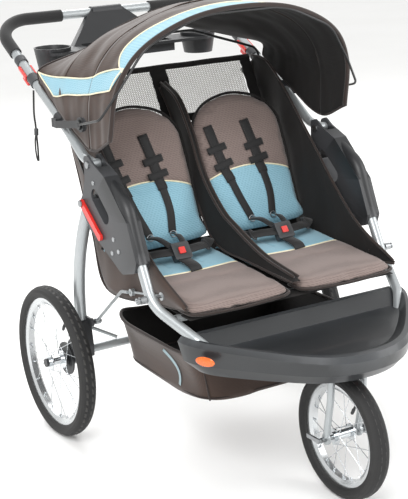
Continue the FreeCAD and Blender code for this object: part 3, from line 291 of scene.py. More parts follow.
# glossy moulded ABS: signal red
RED_ABS = Finish("red_abs", "#e2352d", "#c92620", Pattern.GRAIN, 1.8, 0.02, 0.3, coat=0.3)
# moulded acrylic lens: warm amber with a prism grid under its gloss
LENS = Finish("amber_acrylic", "#f07a1e", "#c9540f", Pattern.CELLS, 2.4, 0.25, 0.16, coat=0.6)
# closed-cell foam rubber: dull black with a pebbled skin
FOAM = Finish("foam_rubber", "#1f1e1f", "#111111", Pattern.CELLS, 2.2, 0.3, 0.86, sheen=0.15)
# woven polyester: chocolate brown, matt, threads a few times their real size
BROWN = Finish("brown_polyester", "#432f25", "#34231a", Pattern.PLAIN_WEAVE, 3.4, 0.22, 0.84, sheen=0.25)
# coated polyester, almost black and duller: the deck, divider, rear strips and bindings, and painted shade on the inner
# face of the brown hood, side panels and basket, which are brown on both sides
BLACK_CLOTH_AND_SHADE = Finish("black_lining", "#191412", "#0f0c0b", Pattern.PLAIN_WEAVE, 3.4, 0.2, 0.88, sheen=0.04)
# brushed polyester: light blue with a diagonal rib
BLUE = Finish("blue_twill", "#8fb8c7", "#7aa6b7", Pattern.TWILL, 5.0, 0.3, 0.86, sheen=0.2)
# cotton piping: cream and round
CREAM = Finish("cream_piping", "#f4edd2", "#ded4b2", Pattern.RIBBED, 2.4, 0.1, 0.8, sheen=0.2)
# polypropylene webbing: black with crosswise ribs
WEBBING = Finish("black_webbing", "#1c1b1c", "#0f0f10", Pattern.RIBBED, 2.6, 0.3, 0.7, sheen=0.15)
# folded tape: dark brown, tighter weave than the cloth it edges
BINDING = Finish("brown_binding", "#2c1d17", "#1e130f", Pattern.RIBBED, 2.0, 0.15, 0.8, sheen=0.2)
# knitted polyester net: pale grey thread
NET = Finish("pale_net", "#d7d4cc", "#bdbab3", Pattern.GRAIN, 1.5, 0.05, 0.8)
# reflective tape: glass-beaded silver grey
REFLECTIVE = Finish("beaded_tape", "#a8bcc2", "#8fa4aa", Pattern.CELLS, 1.6, 0.06, 0.4, metallic=0.2)
# hard black anodised and painted steel wire
BLACK_METAL = Finish("black_painted_steel", "#1d1e20", "#151617", Pattern.GRAIN, 1.5, 0.02, 0.36, coat=0.2)
# brushed polyester over foam, blue below and taupe above the back's seam
BACK_CLOTH = TwoToneFinish(
    "pieced_back_cloth", "#8cb6c6", "#76a2b3", Pattern.TWILL, 5.0, 0.35, 0.88, sheen=0.2,
    second="#81726d", second_deep="#6d5f5a", along=tuple(BACK_UP),
    level=BACK_START.dot(BACK_UP) + BACK_SEAM, bow=BACK_BOW)
# the same cloths on the seat, blue behind its seam and taupe in front
SEAT_CLOTH = TwoToneFinish(
    "pieced_seat_cloth", "#8cb6c6", "#76a2b3", Pattern.TWILL, 5.0, 0.35, 0.88, sheen=0.2,
    second="#81726d", second_deep="#6d5f5a", along=(0.0, -1.0, 0.0), level=-SEAT_SEAM, bow=SEAT_BOW)


# ---------------------------------------------------------------- shapes


def through(points: Sequence[Point], count: int, closed: bool = False) -> list[Vector]:
    """Samples a smooth curve that passes through the given points.

    Args:
        points: the points, of any dimension up to three.
        count: how many samples to return, evenly spread over the spans.
        closed: whether the curve runs back to its start.

    Returns:
        The samples. A closed curve's first point isn't repeated.
    """
    knots = [Vector(point) for point in points]
    spans = len(knots) if closed else len(knots) - 1
    samples = []
    for index in range(count):
        where = index * spans / count if closed else index * spans / (count - 1)
        start = min(int(where), spans - 1)
        share = where - start
        if closed:
            a, b, c, d = (knots[(start + step) % len(knots)] for step in (-1, 0, 1, 2))
        else:
            b, c = knots[start], knots[start + 1]
            a = knots[start - 1] if start > 0 else 2 * b - c
            d = knots[start + 2] if start + 2 < len(knots) else 2 * c - b
        samples.append(0.5 * (2 * b + (c - a) * share + (2 * a - 5 * b + 4 * c - d) * share ** 2
                              + (3 * b - a - 3 * c + d) * share ** 3))
    return samples


def piece(name: str, corners: Sequence[Point], faces: Sequence[Sequence[int]], *finishes: Finish,
          shades: Optional[Sequence[int]] = None) -> bpy.types.Object:
    """Makes one mesh object at the origin.

    Args:
        name: the piece's name.
        corners: the vertices in the row frame, in metres.
        faces: the faces, by vertex number.
        finishes: the finishes of its material slots.
        shades: each face's material slot, if there is more than one.

    Returns:
        The object, smooth shaded, with its normals outward.
    """
    mesh = bpy.data.meshes.new(name)
    mesh.from_pydata([tuple(corner) for corner in corners], [], [tuple(face) for face in faces])
    for finish in finishes:
        mesh.materials.append(finish.make())
    if shades is not None:
        mesh.polygons.foreach_set("material_index", list(shades))
    made = bmesh.new()
    made.from_mesh(mesh)
    bmesh.ops.recalc_face_normals(made, faces=made.faces)
    for face in made.faces:
        face.smooth = True
    made.to_mesh(mesh)
    made.free()
    thing = bpy.data.objects.new(name, mesh)
    bpy.context.scene.collection.objects.link(thing)
    return thing


def grid_faces(rows: int, columns: int, wrap: bool = False, first: int = 0) -> list[tuple[int, ...]]:
    """Lists the faces of a grid of vertices stored row by row.

    Args:
        rows: how many rows.
        columns: how many vertices in a row.
        wrap: whether each row closes on itself.
        first: the number of the grid's first vertex.

    Returns:
        Four vertex numbers for each face.
    """
    faces = []
    for row in range(rows - 1):
        for column in range(columns if wrap else columns - 1):
            after = (column + 1) % columns
            low, high = first + row * columns, first + (row + 1) * columns
            faces.append((low + column, low + after, high + after, high + column))
    return faces


def tube(name: str, path: Sequence[Vector], radius: float, finish: Finish, closed: bool = False,
         sides: int = 8, flat: float = 1.0) -> bpy.types.Object:
    """Sweeps a round or oval section along a path, with closed ends.

    Args:
        name: the piece's name.
        path: the centreline.
        radius: the section's radius.
        finish: the finish.
        closed: whether the path is a loop.
        sides: how many sides the section has.
        flat: the section's height as a share of its width.

    Returns:
        The tube.
    """
    count = len(path)
    corners: list[Vector] = []
    across = None
    for index, spot in enumerate(path):
        before = path[index - 1] if closed or index > 0 else spot
        after = path[(index + 1) % count] if closed or index < count - 1 else spot
        along = (after - before).normalized()
        if across is None:
            across = along.orthogonal().normalized()
        across = (across - along * across.dot(along)).normalized()
        over = along.cross(across)
        for side in range(sides):
            turn = 2 * math.pi * side / sides
            corners.append(spot + across * radius * math.cos(turn) + over * radius * flat * math.sin(turn))
    faces = grid_faces(count, sides, wrap=True)
    if closed:
        last = (count - 1) * sides
        shift = min(range(sides), key=lambda step: sum(
            (corners[last + side] - corners[(side + step) % sides]).length for side in range(sides)))
        faces += [(last + side, last + (side + 1) % sides, (side + 1 + shift) % sides, (side + shift) % sides)
                  for side in range(sides)]
    else:
        faces += [tuple(range(sides))[::-1], tuple(range((count - 1) * sides, count * sides))]
    return piece(name, corners, faces, finish)


def ribbon(name: str, path: Sequence[Vector], outward: Sequence[Vector], width: float, thick: float,
           finish: Finish) -> bpy.types.Object:
    """Makes a flat strap with rounded edges.

    Args:
        name: the piece's name.
        path: the strap's centreline.
        outward: the direction that its face looks in, at each point of the path.
        width: its width.
        thick: its thickness.
        finish: its finish.

    Returns:
        The strap.
    """
    outline = ((-0.5, 0.0), (-0.46, 0.5), (0.0, 0.62), (0.46, 0.5), (0.5, 0.0), (0.46, -0.5), (-0.46, -0.5))
    corners = []
    for index, spot in enumerate(path):
        along = (path[min(index + 1, len(path) - 1)] - path[max(index - 1, 0)]).normalized()
        over = (outward[index] - along * outward[index].dot(along)).normalized()
        across = along.cross(over)
        corners += [spot + across * width * wide + over * thick * high for wide, high in outline]
    sides = len(outline)
    faces = grid_faces(len(path), sides, wrap=True)
    faces += [tuple(range(sides))[::-1], tuple(range((len(path) - 1) * sides, len(path) * sides))]
    return piece(name, corners, faces, finish)


def lathe(name: str, profile: Sequence[tuple[float, float]], centre: Point, axis: Point, finish: Finish,
          sides: int = 24) -> bpy.types.Object:
    """Turns a profile of (height, radius) round an axis; the first and last radius are closed to the axis."""
    turn = Vector((0, 0, 1)).rotation_difference(Vector(axis)).to_matrix()
    corners = []
    for height, radius in profile:
        for side in range(sides):
            angle = 2 * math.pi * side / sides
            corners.append(Vector(centre) + turn @ Vector((radius * math.cos(angle), radius * math.sin(angle), height)))
    faces = grid_faces(len(profile), sides, wrap=True)
    faces += [tuple(range(sides))[::-1], tuple(range((len(profile) - 1) * sides, len(profile) * sides))]
    return piece(name, corners, faces, finish)


def joined(name: str, parts: Sequence[bpy.types.Object]) -> bpy.types.Object:
    """Joins objects at the origin into one named mesh.

    Args:
        name: the joined piece's name.
        parts: the objects, which are used up.

    Returns:
        The joined object.
    """
    made = bmesh.new()
    slots: list[bpy.types.Material] = []
    for part in parts:
        start = len(made.faces)
        made.from_mesh(part.data)
        made.faces.ensure_lookup_table()
        for face in made.faces[start:]:
            material = part.data.materials[face.material_index]
            if material not in slots:
                slots.append(material)
            face.material_index = slots.index(material)
    mesh = bpy.data.meshes.new(name)
    made.to_mesh(mesh)
    made.free()
    for material in slots:
        mesh.materials.append(material)
    for part in parts:
        bpy.data.objects.remove(part)
    thing = bpy.data.objects.new(name, mesh)
    bpy.context.scene.collection.objects.link(thing)
    return thing


def settle(thing: bpy.types.Object) -> bpy.types.Object:
    """Applies every modifier on an object, leaving a plain mesh, and returns it."""
    bpy.context.view_layer.update()
    evaluated = thing.evaluated_get(bpy.context.evaluated_depsgraph_get())
    mesh = bpy.data.meshes.new_from_object(evaluated)
    mesh.name = thing.name
    thing.modifiers.clear()
    thing.data = mesh
    for face in mesh.polygons:
        face.use_smooth = True
    return thing


def thicken(thing: bpy.types.Object, thick: float, shaded_inside_slot: int = 0, offset: float = -1.0) -> bpy.types.Object:
    """Gives an open sheet a wall, with its inner face painted darker as shade from a second slot if it has one, and
    applies it.
    """
    wall = thing.modifiers.new("wall", "SOLIDIFY")
    wall.thickness = thick
    wall.offset = offset
    wall.material_offset = shaded_inside_slot
    return settle(thing)


def rumple(thing: bpy.types.Object, depth: float, reach: float, seed: float,
           stretch: Point = (1.0, 1.0, 1.0)) -> None:
    """Moves each vertex along its normal by smooth noise, as slack cloth lies.

    Args:
        thing: the mesh object, before it gets its wall.
        depth: the largest movement.
        reach: the size of a wrinkle.
        seed: shifts the noise.
        stretch: squeezes the noise along an axis, so that wrinkles run across it.
    """
    mesh = thing.data
    moved = []
    for vertex in mesh.vertices:
        spot = Vector(tuple(vertex.co[axis] * stretch[axis] for axis in range(3))) / reach
        amount = noise.noise(spot + Vector((seed, seed * 0.7, -seed)))
        moved.append(vertex.co + vertex.normal * depth * amount)
    for vertex, spot in zip(mesh.vertices, moved):
        vertex.co = spot
    mesh.update()


# ---------------------------------------------------------------- repeated details


class Repeats:
    """Geometry Nodes trees for what repeats round a wheel, along a seam or over a window."""

    @staticmethod
    def tree(name: str, inputs: Sequence[tuple[str, str]]) -> tuple[bpy.types.NodeTree, bpy.types.Node]:
        """Starts a tree with named inputs.

        Args:
            name: the tree's name.
            inputs: each input's name and socket type.

        Returns:
            The tree and its group input node.
        """
        tree = bpy.data.node_groups.new(name, "GeometryNodeTree")
        tree.interface.new_socket("Geometry", in_out="OUTPUT", socket_type="NodeSocketGeometry")
        tree.interface.new_socket("Geometry", in_out="INPUT", socket_type="NodeSocketGeometry")
        for title, kind in inputs:
            tree.interface.new_socket(title, in_out="INPUT", socket_type=kind)
        return tree, tree.nodes.new("NodeGroupInput")

    @staticmethod
    def close(tree: bpy.types.NodeTree, shape: bpy.types.NodeSocket, finish: bpy.types.NodeSocket) -> None:
        """Ends a tree in Realize Instances and Set Material."""
        real = add_node(tree, "GeometryNodeRealizeInstances", {"Geometry": shape})
        painted = add_node(tree, "GeometryNodeSetMaterial", {"Geometry": real.outputs[0], "Material": finish})
        add_node(tree, "NodeGroupOutput", {"Geometry": painted.outputs[0]})

    @staticmethod
    def run(tree: bpy.types.NodeTree, name: str, start: bpy.types.Mesh, values: dict[str, Any],
            place: Matrix = Matrix.Identity(4)) -> bpy.types.Object:
        """Runs a tree on a mesh and keeps the result as a plain mesh.

        Args:
            tree: the tree.
            name: the piece's name.
            start: the mesh that the tree starts from.
            values: each named input's value.
            place: moves the result into the row frame.

        Returns:
            The finished object, with no modifier.
        """
        thing = bpy.data.objects.new(name, start)
        bpy.context.scene.collection.objects.link(thing)
        maker = thing.modifiers.new("maker", "NODES")
        maker.node_group = tree
        for item in tree.interface.items_tree:
            if item.in_out == "INPUT" and item.name in values:
                maker[item.identifier] = values[item.name]
        settle(thing)
        thing.data.transform(place)
        return thing

    @classmethod
    def ring(cls) -> bpy.types.NodeTree:
        """Copies a template round a circle in the XY plane, its X axis outward."""
        tree, given = cls.tree("around_a_wheel", [
            ("Template", "NodeSocketObject"), ("Count", "NodeSocketInt"), ("Radius", "NodeSocketFloat"),
            ("Finish", "NodeSocketMaterial")])
        circle = add_node(tree, "GeometryNodeMeshCircle", {
            "Vertices": given.outputs["Count"], "Radius": given.outputs["Radius"]})
        source = add_node(tree, "GeometryNodeObjectInfo", {"Object": given.outputs["Template"]})
        place = add_node(tree, "GeometryNodeInputPosition")
        facing = add_node(tree, "FunctionNodeAlignRotationToVector", {"Vector": place.outputs[0]},
                          axis="X", pivot_axis="Z")
        copies = add_node(tree, "GeometryNodeInstanceOnPoints", {
            "Points": circle.outputs[0], "Instance": source.outputs["Geometry"], "Rotation": facing.outputs[0]})
        cls.close(tree, copies.outputs[0], given.outputs["Finish"])
        return tree

    @classmethod
    def stitches(cls) -> bpy.types.NodeTree:
        """Lays short thread stitches along the edges of the start mesh."""
        tree, given = cls.tree("along_a_seam", [
            ("Spacing", "NodeSocketFloat"), ("Length", "NodeSocketFloat"), ("Thread", "NodeSocketFloat"),
            ("Finish", "NodeSocketMaterial")])
        line = add_node(tree, "GeometryNodeMeshToCurve", {"Mesh": given.outputs["Geometry"]})
        spots = add_node(tree, "GeometryNodeCurveToPoints", {
            "Curve": line.outputs[0], "Length": given.outputs["Spacing"]}, mode="LENGTH")
        thread = add_node(tree, "GeometryNodeMeshCylinder", {
            "Vertices": 5, "Radius": given.outputs["Thread"], "Depth": given.outputs["Length"]})
        facing = add_node(tree, "FunctionNodeAlignRotationToVector", {"Vector": spots.outputs["Tangent"]}, axis="Z")
        copies = add_node(tree, "GeometryNodeInstanceOnPoints", {
            "Points": spots.outputs[0], "Instance": thread.outputs[0], "Rotation": facing.outputs[0]})
        cls.close(tree, copies.outputs[0], given.outputs["Finish"])
        return tree

    @classmethod
    def net(cls) -> bpy.types.NodeTree:
        """Turns the edges of the start mesh to threads."""
        tree, given = cls.tree("net_threads", [("Thread", "NodeSocketFloat"), ("Finish", "NodeSocketMaterial")])
        line = add_node(tree, "GeometryNodeMeshToCurve", {"Mesh": given.outputs["Geometry"]})
        section = add_node(tree, "GeometryNodeCurvePrimitiveCircle", {
            "Resolution": 3, "Radius": given.outputs["Thread"]})
        threads = add_node(tree, "GeometryNodeCurveToMesh", {
            "Curve": line.outputs[0], "Profile Curve": section.outputs[0], "Fill Caps": True})
        cls.close(tree, threads.outputs[0], given.outputs["Finish"])
        return tree


def polyline(name: str, *lines: Sequence[Vector]) -> bpy.types.Mesh:
    """Makes a mesh of edges only, one chain for each line."""
    corners: list[tuple[float, ...]] = []
    edges: list[tuple[int, int]] = []
    for line in lines:
        start = len(corners)
        corners += [tuple(spot) for spot in line]
        edges += [(start + step, start + step + 1) for step in range(len(line) - 1)]
    mesh = bpy.data.meshes.new(name)
    mesh.from_pydata(corners, edges, [])
    return mesh


@dataclass
class SubAssembly:
    """A group of pieces, built and then dressed."""

    made: list[bpy.types.Object] = field(default_factory=list, init=False)

    def keep(self, thing: bpy.types.Object, body: str, slot: str = "") -> bpy.types.Object:
        """Makes a piece ride on a body and notes it.

        Args:
            thing: the finished piece.
            body: the CAD body it rides on.
            slot: the record's material slot; not used.

        Returns:
            The piece.
        """
        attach(thing, body)
        return self.note(thing, slot)

    def bend(self, thing: bpy.types.Object, bodies: tuple[str, str], start: Point, end: Point,
             slot: str = "") -> bpy.types.Object:
        """Bakes a piece's placement into its mesh and notes it."""
        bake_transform(thing)
        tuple(start)
        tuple(end)
        return self.note(thing, slot)

    def note(self, thing: bpy.types.Object, slot: str = "") -> bpy.types.Object:
        """Notes the piece, logs it and returns it."""
        self.made.append(thing)
        LOG.info("%s: %s, %d faces", type(self).__name__, thing.name, len(thing.data.polygons))
        return thing


# ---------------------------------------------------------------- canopy

Station = tuple[float, float, float, float]


@dataclass
class Canopy(SubAssembly):
    """The hood: one brown sheet over four arches, in two pieces that meet over the folding bow's hub.

    Each arch has its foot's y and z and its crown's y and z, and its own outline.
    """

    half: float = 0.341
    wall: float = 0.0024
    arches: tuple[Station, ...] = (
        (-0.046, 0.826, -0.111, 1.116), (0.060, 0.789, 0.050, 1.120),
        (0.190, 0.842, 0.190, 1.098), (0.330, 0.918, 0.322, 1.044))
    outlines: tuple[tuple[tuple[float, float], ...], ...] = (
        ((1.0, 0.0), (0.965, 0.42), (0.795, 0.73), (0.43, 0.94), (0.0, 1.0)),
        ((1.0, 0.0), (0.98, 0.42), (0.80, 0.73), (0.45, 0.915), (0.0, 1.0)),
        ((1.0, 0.0), (0.985, 0.40), (0.78, 0.68), (0.42, 0.89), (0.0, 1.0)),
        ((1.0, 0.0), (0.985, 0.30), (0.72, 0.51), (0.37, 0.77), (0.0, 1.0)))
    rear_blend: tuple[Point, Point] = ((0, 0.30, 1.0), (0, 0.07, 1.0))
    front_blend: tuple[Point, Point] = ((0, 0.045, 1.0), (0, -0.09, 1.0))

    def at(self, along: float, across: float, lift: float = 0.0) -> Vector:
        """Finds a point of the hood's outer face.

        Args:
            along: 0 at the front arch to 3 at the rear one.
            across: -1 at the left foot, 0 at the crown, 1 at the right foot.
            lift: how far outside the face.

        Returns:
            The point in the row frame.
        """
        share = min(max(along, 0.0), 3.0)
        station = self.spline([Vector(arch[:2]).to_3d() for arch in self.arches], share)
        crown = self.spline([Vector(arch[2:]).to_3d() for arch in self.arches], share)
        shape = self.spline([self.outline(outline, across) for outline in self.outlines], share)
        between = abs(share - round(share))
        sag = 0.007 * between * (1 - 0.5 * abs(across))
        half = self.half - sag + lift
        low, high = Vector((0, station.x, station.y)), Vector((0, crown.x, crown.y - sag + lift))
        return Vector((shape.x * half, 0, 0)) + low + (high - low) * shape.y

    @staticmethod
    def spline(values: Sequence[Vector], share: float) -> Vector:
        """Reads a smooth curve through values numbered from 0."""
        start = min(int(share), len(values) - 2)
        step = share - start
        b, c = values[start], values[start + 1]
        a = values[start - 1] if start > 0 else 2 * b - c
        d = values[start + 2] if start + 2 < len(values) else 2 * c - b
        return 0.5 * (2 * b + (c - a) * step + (2 * a - 5 * b + 4 * c - d) * step ** 2
                      + (3 * b - a - 3 * c + d) * step ** 3)

    def outline(self, shares: Sequence[tuple[float, float]], across: float) -> Vector:
        """Reads an arch's outline at a place across it."""
        knots = [Vector((-wide, high, 0)) for wide, high in shares]
        knots += [Vector((wide, high, 0)) for wide, high in shares[-2::-1]]
        return self.spline(knots, (across + 1) * (len(knots) - 1) / 2)

    def sheet(self, name: str, start: float, end: float, rows: int, columns: int = 97) -> bpy.types.Object:
        """Builds the part of the hood between two arches, brown outside, its inside painted near-black as shade under
        the hood.
        """
        corners = [self.at(start + (end - start) * row / (rows - 1), -1 + 2 * column / (columns - 1))
                   for row in range(rows) for column in range(columns)]
        # the inside takes the second, near-black slot: painted shade, the hood's cloth being brown on both sides
        thing = piece(name, corners, grid_faces(rows, columns), BROWN, BLACK_CLOTH_AND_SHADE)
        self.face_out(thing)
        rumple(thing, 0.0035, 0.07, start + 3.0, (1.0, 2.2, 0.6))
        return thicken(thing, self.wall, shaded_inside_slot=1)

    @staticmethod
    def face_out(thing: bpy.types.Object) -> None:
        """Turns an open sheet's faces away from the seats' space below the hood."""
        made = bmesh.new()
        made.from_mesh(thing.data)
        inside = Vector((0, 0.1, 0.85))
        for face in made.faces:
            if face.normal.dot(face.calc_center_median() - inside) < 0:
                face.normal_flip()
        made.to_mesh(thing.data)
        made.free()
        thing.data.update()

    def line(self, marks: Sequence[tuple[float, float]], count: int, lift: float) -> list[Vector]:
        """Samples a smooth line drawn on the hood through marks of (along, across)."""
        return [self.at(mark.x, mark.y, lift) for mark in through([(a, b, 0) for a, b in marks], count)]

    def patch(self, name: str, low: Sequence[tuple[float, float]], high: Sequence[tuple[float, float]],
              count: int, rows: int = 8) -> bpy.types.Object:
        """Lays a panel of blue cloth on the hood between two lines.

        Args:
            name: the panel's name.
            low: marks of (along, across) on one long edge.
            high: marks on the other long edge.
            count: samples along each edge.
            rows: samples between the edges.

        Returns:
            The panel, one thin closed sheet.
        """
        lower = through([(a, b, 0) for a, b in low], count)
        upper = through([(a, b, 0) for a, b in high], count)
        corners = []
        for row in range(rows):
            share = row / (rows - 1)
            for left, right in zip(lower, upper):
                mark = left + (right - left) * share
                corners.append(self.at(mark.x, mark.y, 0.0022))
        thing = piece(name, corners, grid_faces(rows, count), BLUE)
        self.face_out(thing)
        rumple(thing, 0.0022, 0.07, 3.0, (1.0, 2.2, 0.6))
        return thicken(thing, 0.0014)

    def build(self) -> None:
        """Makes the sheets, their blue panels, piping, hems and seams."""
        rear = self.bend(self.sheet("canopy_rear_sheet", 1.0, 3.0, 41), ("handle", "canopy_carrier"),
                         *self.rear_blend, slot="brown_fabric")
        front = self.bend(self.sheet("canopy_front_sheet", 0.0, 1.0, 23), ("canopy_carrier", "canopy_bow"),
                          *self.front_blend, slot="brown_fabric")
        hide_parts("canopy_fabric")
        self.panels()
        self.edges()

    def panels(self) -> None:
        """Adds the blue corner panels and the blue band along the front arch, with cream piping."""
        upper = [(2.96, 0.80), (2.5, 0.765), (1.93, 0.735), (1.41, 0.70), (1.02, 0.675)]
        lower = [(2.40, 0.915), (1.85, 0.83), (1.27, 0.775), (1.02, 0.76)]
        fore_upper = [(1.0, 0.675), (0.8, 0.65), (0.45, 0.63), (0.06, 0.625)]
        fore_lower = [(1.0, 0.76), (0.68, 0.748), (0.24, 0.745)]
        for side in Side:
            sign = side.value
            def flip(marks: Sequence[tuple[float, float]]) -> list[tuple[float, float]]:
                """Puts marks on this side."""
                return [(along, sign * across) for along, across in marks]
            label = side.name.lower()
            self.bend(self.patch(f"canopy_panel_{label}", flip(lower), flip(upper), 36),
                      ("handle", "canopy_carrier"), *self.rear_blend)
            self.bend(self.patch(f"canopy_panel_front_{label}", flip(fore_lower), flip(fore_upper), 18),
                      ("canopy_carrier", "canopy_bow"), *self.front_blend)
            rear_lines = [self.line(flip(upper), 50, 0.0025), self.line(flip(lower), 50, 0.0025),
                          self.line(flip([lower[0], (2.72, 0.86), upper[0]]), 14, 0.0025)]
            fore_lines = [self.line(flip(fore_upper), 24, 0.0025), self.line(flip(fore_lower), 24, 0.0025),
                          self.line(flip([fore_lower[-1], (0.20, 0.69), fore_upper[-1]]), 12, 0.0025)]
            piping = joined(f"canopy_piping_{label}", [
                tube(f"cord_{number}", line, 0.0019, CREAM) for number, line in enumerate(rear_lines)])
            self.bend(piping, ("handle", "canopy_carrier"), *self.rear_blend)
            piping = joined(f"canopy_piping_front_{label}", [
                tube(f"cord_{number}", line, 0.0019, CREAM) for number, line in enumerate(fore_lines)])
            self.bend(piping, ("canopy_carrier", "canopy_bow"), *self.front_blend)
        band_rear = [(0.02, -0.65), (0.30, -0.60), (0.50, -0.52), (0.52, -0.40), (0.46, -0.25), (0.44, 0.0),
                     (0.46, 0.25), (0.50, 0.45), (0.34, 0.60), (0.02, 0.66)]
        band_front = [(0.01, -0.65), (0.012, -0.60), (0.014, -0.52), (0.016, -0.40), (0.018, -0.25), (0.02, 0.0),
                      (0.018, 0.25), (0.016, 0.45), (0.012, 0.60), (0.01, 0.66)]
        bodies = ("canopy_carrier", "canopy_bow")
        self.bend(self.patch("canopy_band", band_front, band_rear, 110, rows=9), bodies, *self.front_blend)
        edging = joined("canopy_band_piping", [
            tube("band_cord_rear", self.line(band_rear, 120, 0.0025), 0.0019, CREAM),
            tube("band_cord_front", self.line(band_front, 120, 0.0022), 0.0017, CREAM)])
        self.bend(edging, bodies, *self.front_blend)

    def edges(self) -> None:
        """Adds the bound front hem, the rear hem, the seams over the bows and the binding along the feet."""
        def run(along: float, reach: float = 1.0, lift: float = 0.0) -> list[Vector]:
            """Samples the hood's face along one arch."""
            return [self.at(along, -reach + 2 * reach * step / 80, lift) for step in range(81)]
        hem = joined("canopy_front_hem", [tube("hem", run(0.0, lift=-0.001), 0.0058, BINDING, sides=10)])
        self.bend(hem, ("canopy_carrier", "canopy_bow"), *self.front_blend)
        rear = joined("canopy_rear_hem", [tube("hem", run(3.0, lift=-0.001), 0.0036, BINDING, sides=10)])
        self.keep(rear, "handle")
        seams = joined("canopy_seams", [
            tube("seam_middle", run(2.0, lift=0.0006), 0.0014, BROWN, sides=6, flat=0.8),
            tube("seam_hub", run(1.02, lift=0.0006), 0.0014, BROWN, sides=6, flat=0.8)])
        self.bend(seams, ("handle", "canopy_carrier"), *self.rear_blend)
        rear_edges, front_edges = [], []
        for side in Side:
            sign = side.value
            rear_edges.append(tube("foot", [self.at(1 + 2 * step / 40, sign, -0.001) for step in range(41)],
                                   0.003, BINDING))
            front_edges.append(tube("foot", [self.at(step / 20, sign, -0.001) for step in range(21)],
                                    0.003, BINDING))
        self.bend(joined("canopy_foot_binding", rear_edges), ("handle", "canopy_carrier"), *self.rear_blend)
        self.bend(joined("canopy_foot_binding_front", front_edges), ("canopy_carrier", "canopy_bow"),
                  *self.front_blend)


# ---------------------------------------------------------------- seats


class Pillow:
    """Makes a stuffed pad from an outline and inflates it with cloth simulation."""

    VOXEL = 0.006
    PRESSURE = 4.0
    FRAMES = 20

    @staticmethod
    def blank(name: str, outline: Sequence[tuple[float, float]], thick: float,
              place: Callable[[float, float, float], Vector], finish: Finish) -> bpy.types.Object:
        """Builds a closed crowned form.

        Args:
            name: the pad's name.
            outline: its edge in the pad's own plane.
            thick: its thickness at the middle.
            place: turns (across, along, height) to the row frame.
            finish: its finish.

        Returns:
            The form, before inflation.
        """
        count = len(outline)
        middle_a = sum(a for a, _ in outline) / count
        middle_b = sum(b for _, b in outline) / count
        shares = [0.0, 0.25, 0.5, 0.7, 0.84, 0.93, 0.98, 1.0]
        corners: list[Vector] = []
        for top in (1, -1):
            for share in shares[1:] if top > 0 else shares[1:-1]:
                lift = thick / 2 * math.sqrt(max(0.0, 1 - share ** 6))
                corners += [place(middle_a + (a - middle_a) * share, middle_b + (b - middle_b) * share, top * lift)
                            for a, b in outline]
        rings = len(shares) - 1
        faces = grid_faces(rings, count, wrap=True)
        low = rings * count
        faces += grid_faces(rings - 1, count, wrap=True, first=low)
        edge, under = (rings - 1) * count, low + (rings - 2) * count
        faces += [(edge + step, edge + (step + 1) % count, under + (step + 1) % count, under + step)
                  for step in range(count)]
        corners += [place(middle_a, middle_b, thick / 2), place(middle_a, middle_b, -thick / 2)]
        top_pole, low_pole = len(corners) - 2, len(corners) - 1
        faces += [(step, (step + 1) % count, top_pole) for step in range(count)]
        faces += [(low + step, low + (step + 1) % count, low_pole) for step in range(count)]
        return piece(name, corners, faces, finish)

    @classmethod
    def inflate(cls, thing: bpy.types.Object, cap: float, outward: Vector) -> bpy.types.Object:
        """Swells a pad under pressure, as stuffing does, while its sewn edge keeps its outline.

        Args:
            thing: the closed form.
            cap: how far a point may move.
            outward: the direction that the pad's face looks in.

        Returns:
            The same object with its final mesh, smoothed once.
        """
        remesh = thing.modifiers.new("remesh", "REMESH")
        remesh.mode = "VOXEL"
        remesh.voxel_size = cls.VOXEL
        settle(thing)
        rest = np.array([vertex.co[:] for vertex in thing.data.vertices])
        cloth = thing.modifiers.new("cloth", "CLOTH")
        cloth.settings.quality = 4
        cloth.settings.mass = 0.25
        cloth.settings.use_pressure = True
        cloth.settings.uniform_pressure_force = cls.PRESSURE
        cloth.settings.tension_stiffness = 12
        cloth.settings.compression_stiffness = 12
        cloth.settings.shear_stiffness = 5
        cloth.settings.effector_weights.gravity = 0
        cloth.point_cache.frame_start = 1
        cloth.point_cache.frame_end = cls.FRAMES
        for number in range(1, cls.FRAMES + 1):
            bpy.context.scene.frame_set(number)
        settle(thing)
        bpy.context.scene.frame_set(1)
        swollen = np.array([vertex.co[:] for vertex in thing.data.vertices])
        if len(swollen) == len(rest):
            face = np.array(outward)
            moved = np.outer((swollen - rest) @ face, face)
            length = np.linalg.norm(moved, axis=1, keepdims=True)
            capped = rest + moved * np.minimum(1.0, cap / np.maximum(length, 1e-9))
            thing.data.vertices.foreach_set("co", capped.ravel())
        smooth = thing.modifiers.new("smooth", "SUBSURF")
        smooth.levels = smooth.render_levels = 1
        return settle(thing)

    @staticmethod
    def pull(thing: bpy.types.Object, seam: Callable[[Vector], float], depth: float, reach: float,
             inward: Vector) -> None:
        """Draws the face in along a sewn seam.

        Args:
            thing: the pad.
            seam: a point's distance from the seam.
            depth: how deep the channel is.
            reach: its half width.
            inward: the direction that the face is drawn in.
        """
        mesh = thing.data
        facing = [vertex.normal.dot(inward) < -0.3 for vertex in mesh.vertices]
        spots = [vertex.co.copy() for vertex in mesh.vertices]
        drawn = [spot + inward * depth * math.exp(-(seam(spot) / reach) ** 2) if front else spot
                 for spot, front in zip(spots, facing)]
        mesh.vertices.foreach_set("co", np.array(drawn).ravel())
        mesh.update()


def face_tree(thing: bpy.types.Object) -> BVHTree:
    """Returns a search tree over an object's faces."""
    bpy.context.view_layer.update()
    return BVHTree.FromObject(thing, bpy.context.evaluated_depsgraph_get())


def cast(tree: BVHTree, spot: Vector, inward: Vector, lift: float) -> Vector:
    """Drops a point onto a pad's face.

    Args:
        tree: the pad's search tree.
        spot: a point near the face.
        inward: the direction of the drop.
        lift: how far above the face the result is.

    Returns:
        The point on the face, or the point itself where the face is missed.
    """
    found = tree.ray_cast(spot - inward * 0.08, inward)[0]
    return (found if found is not None else spot) - inward * lift


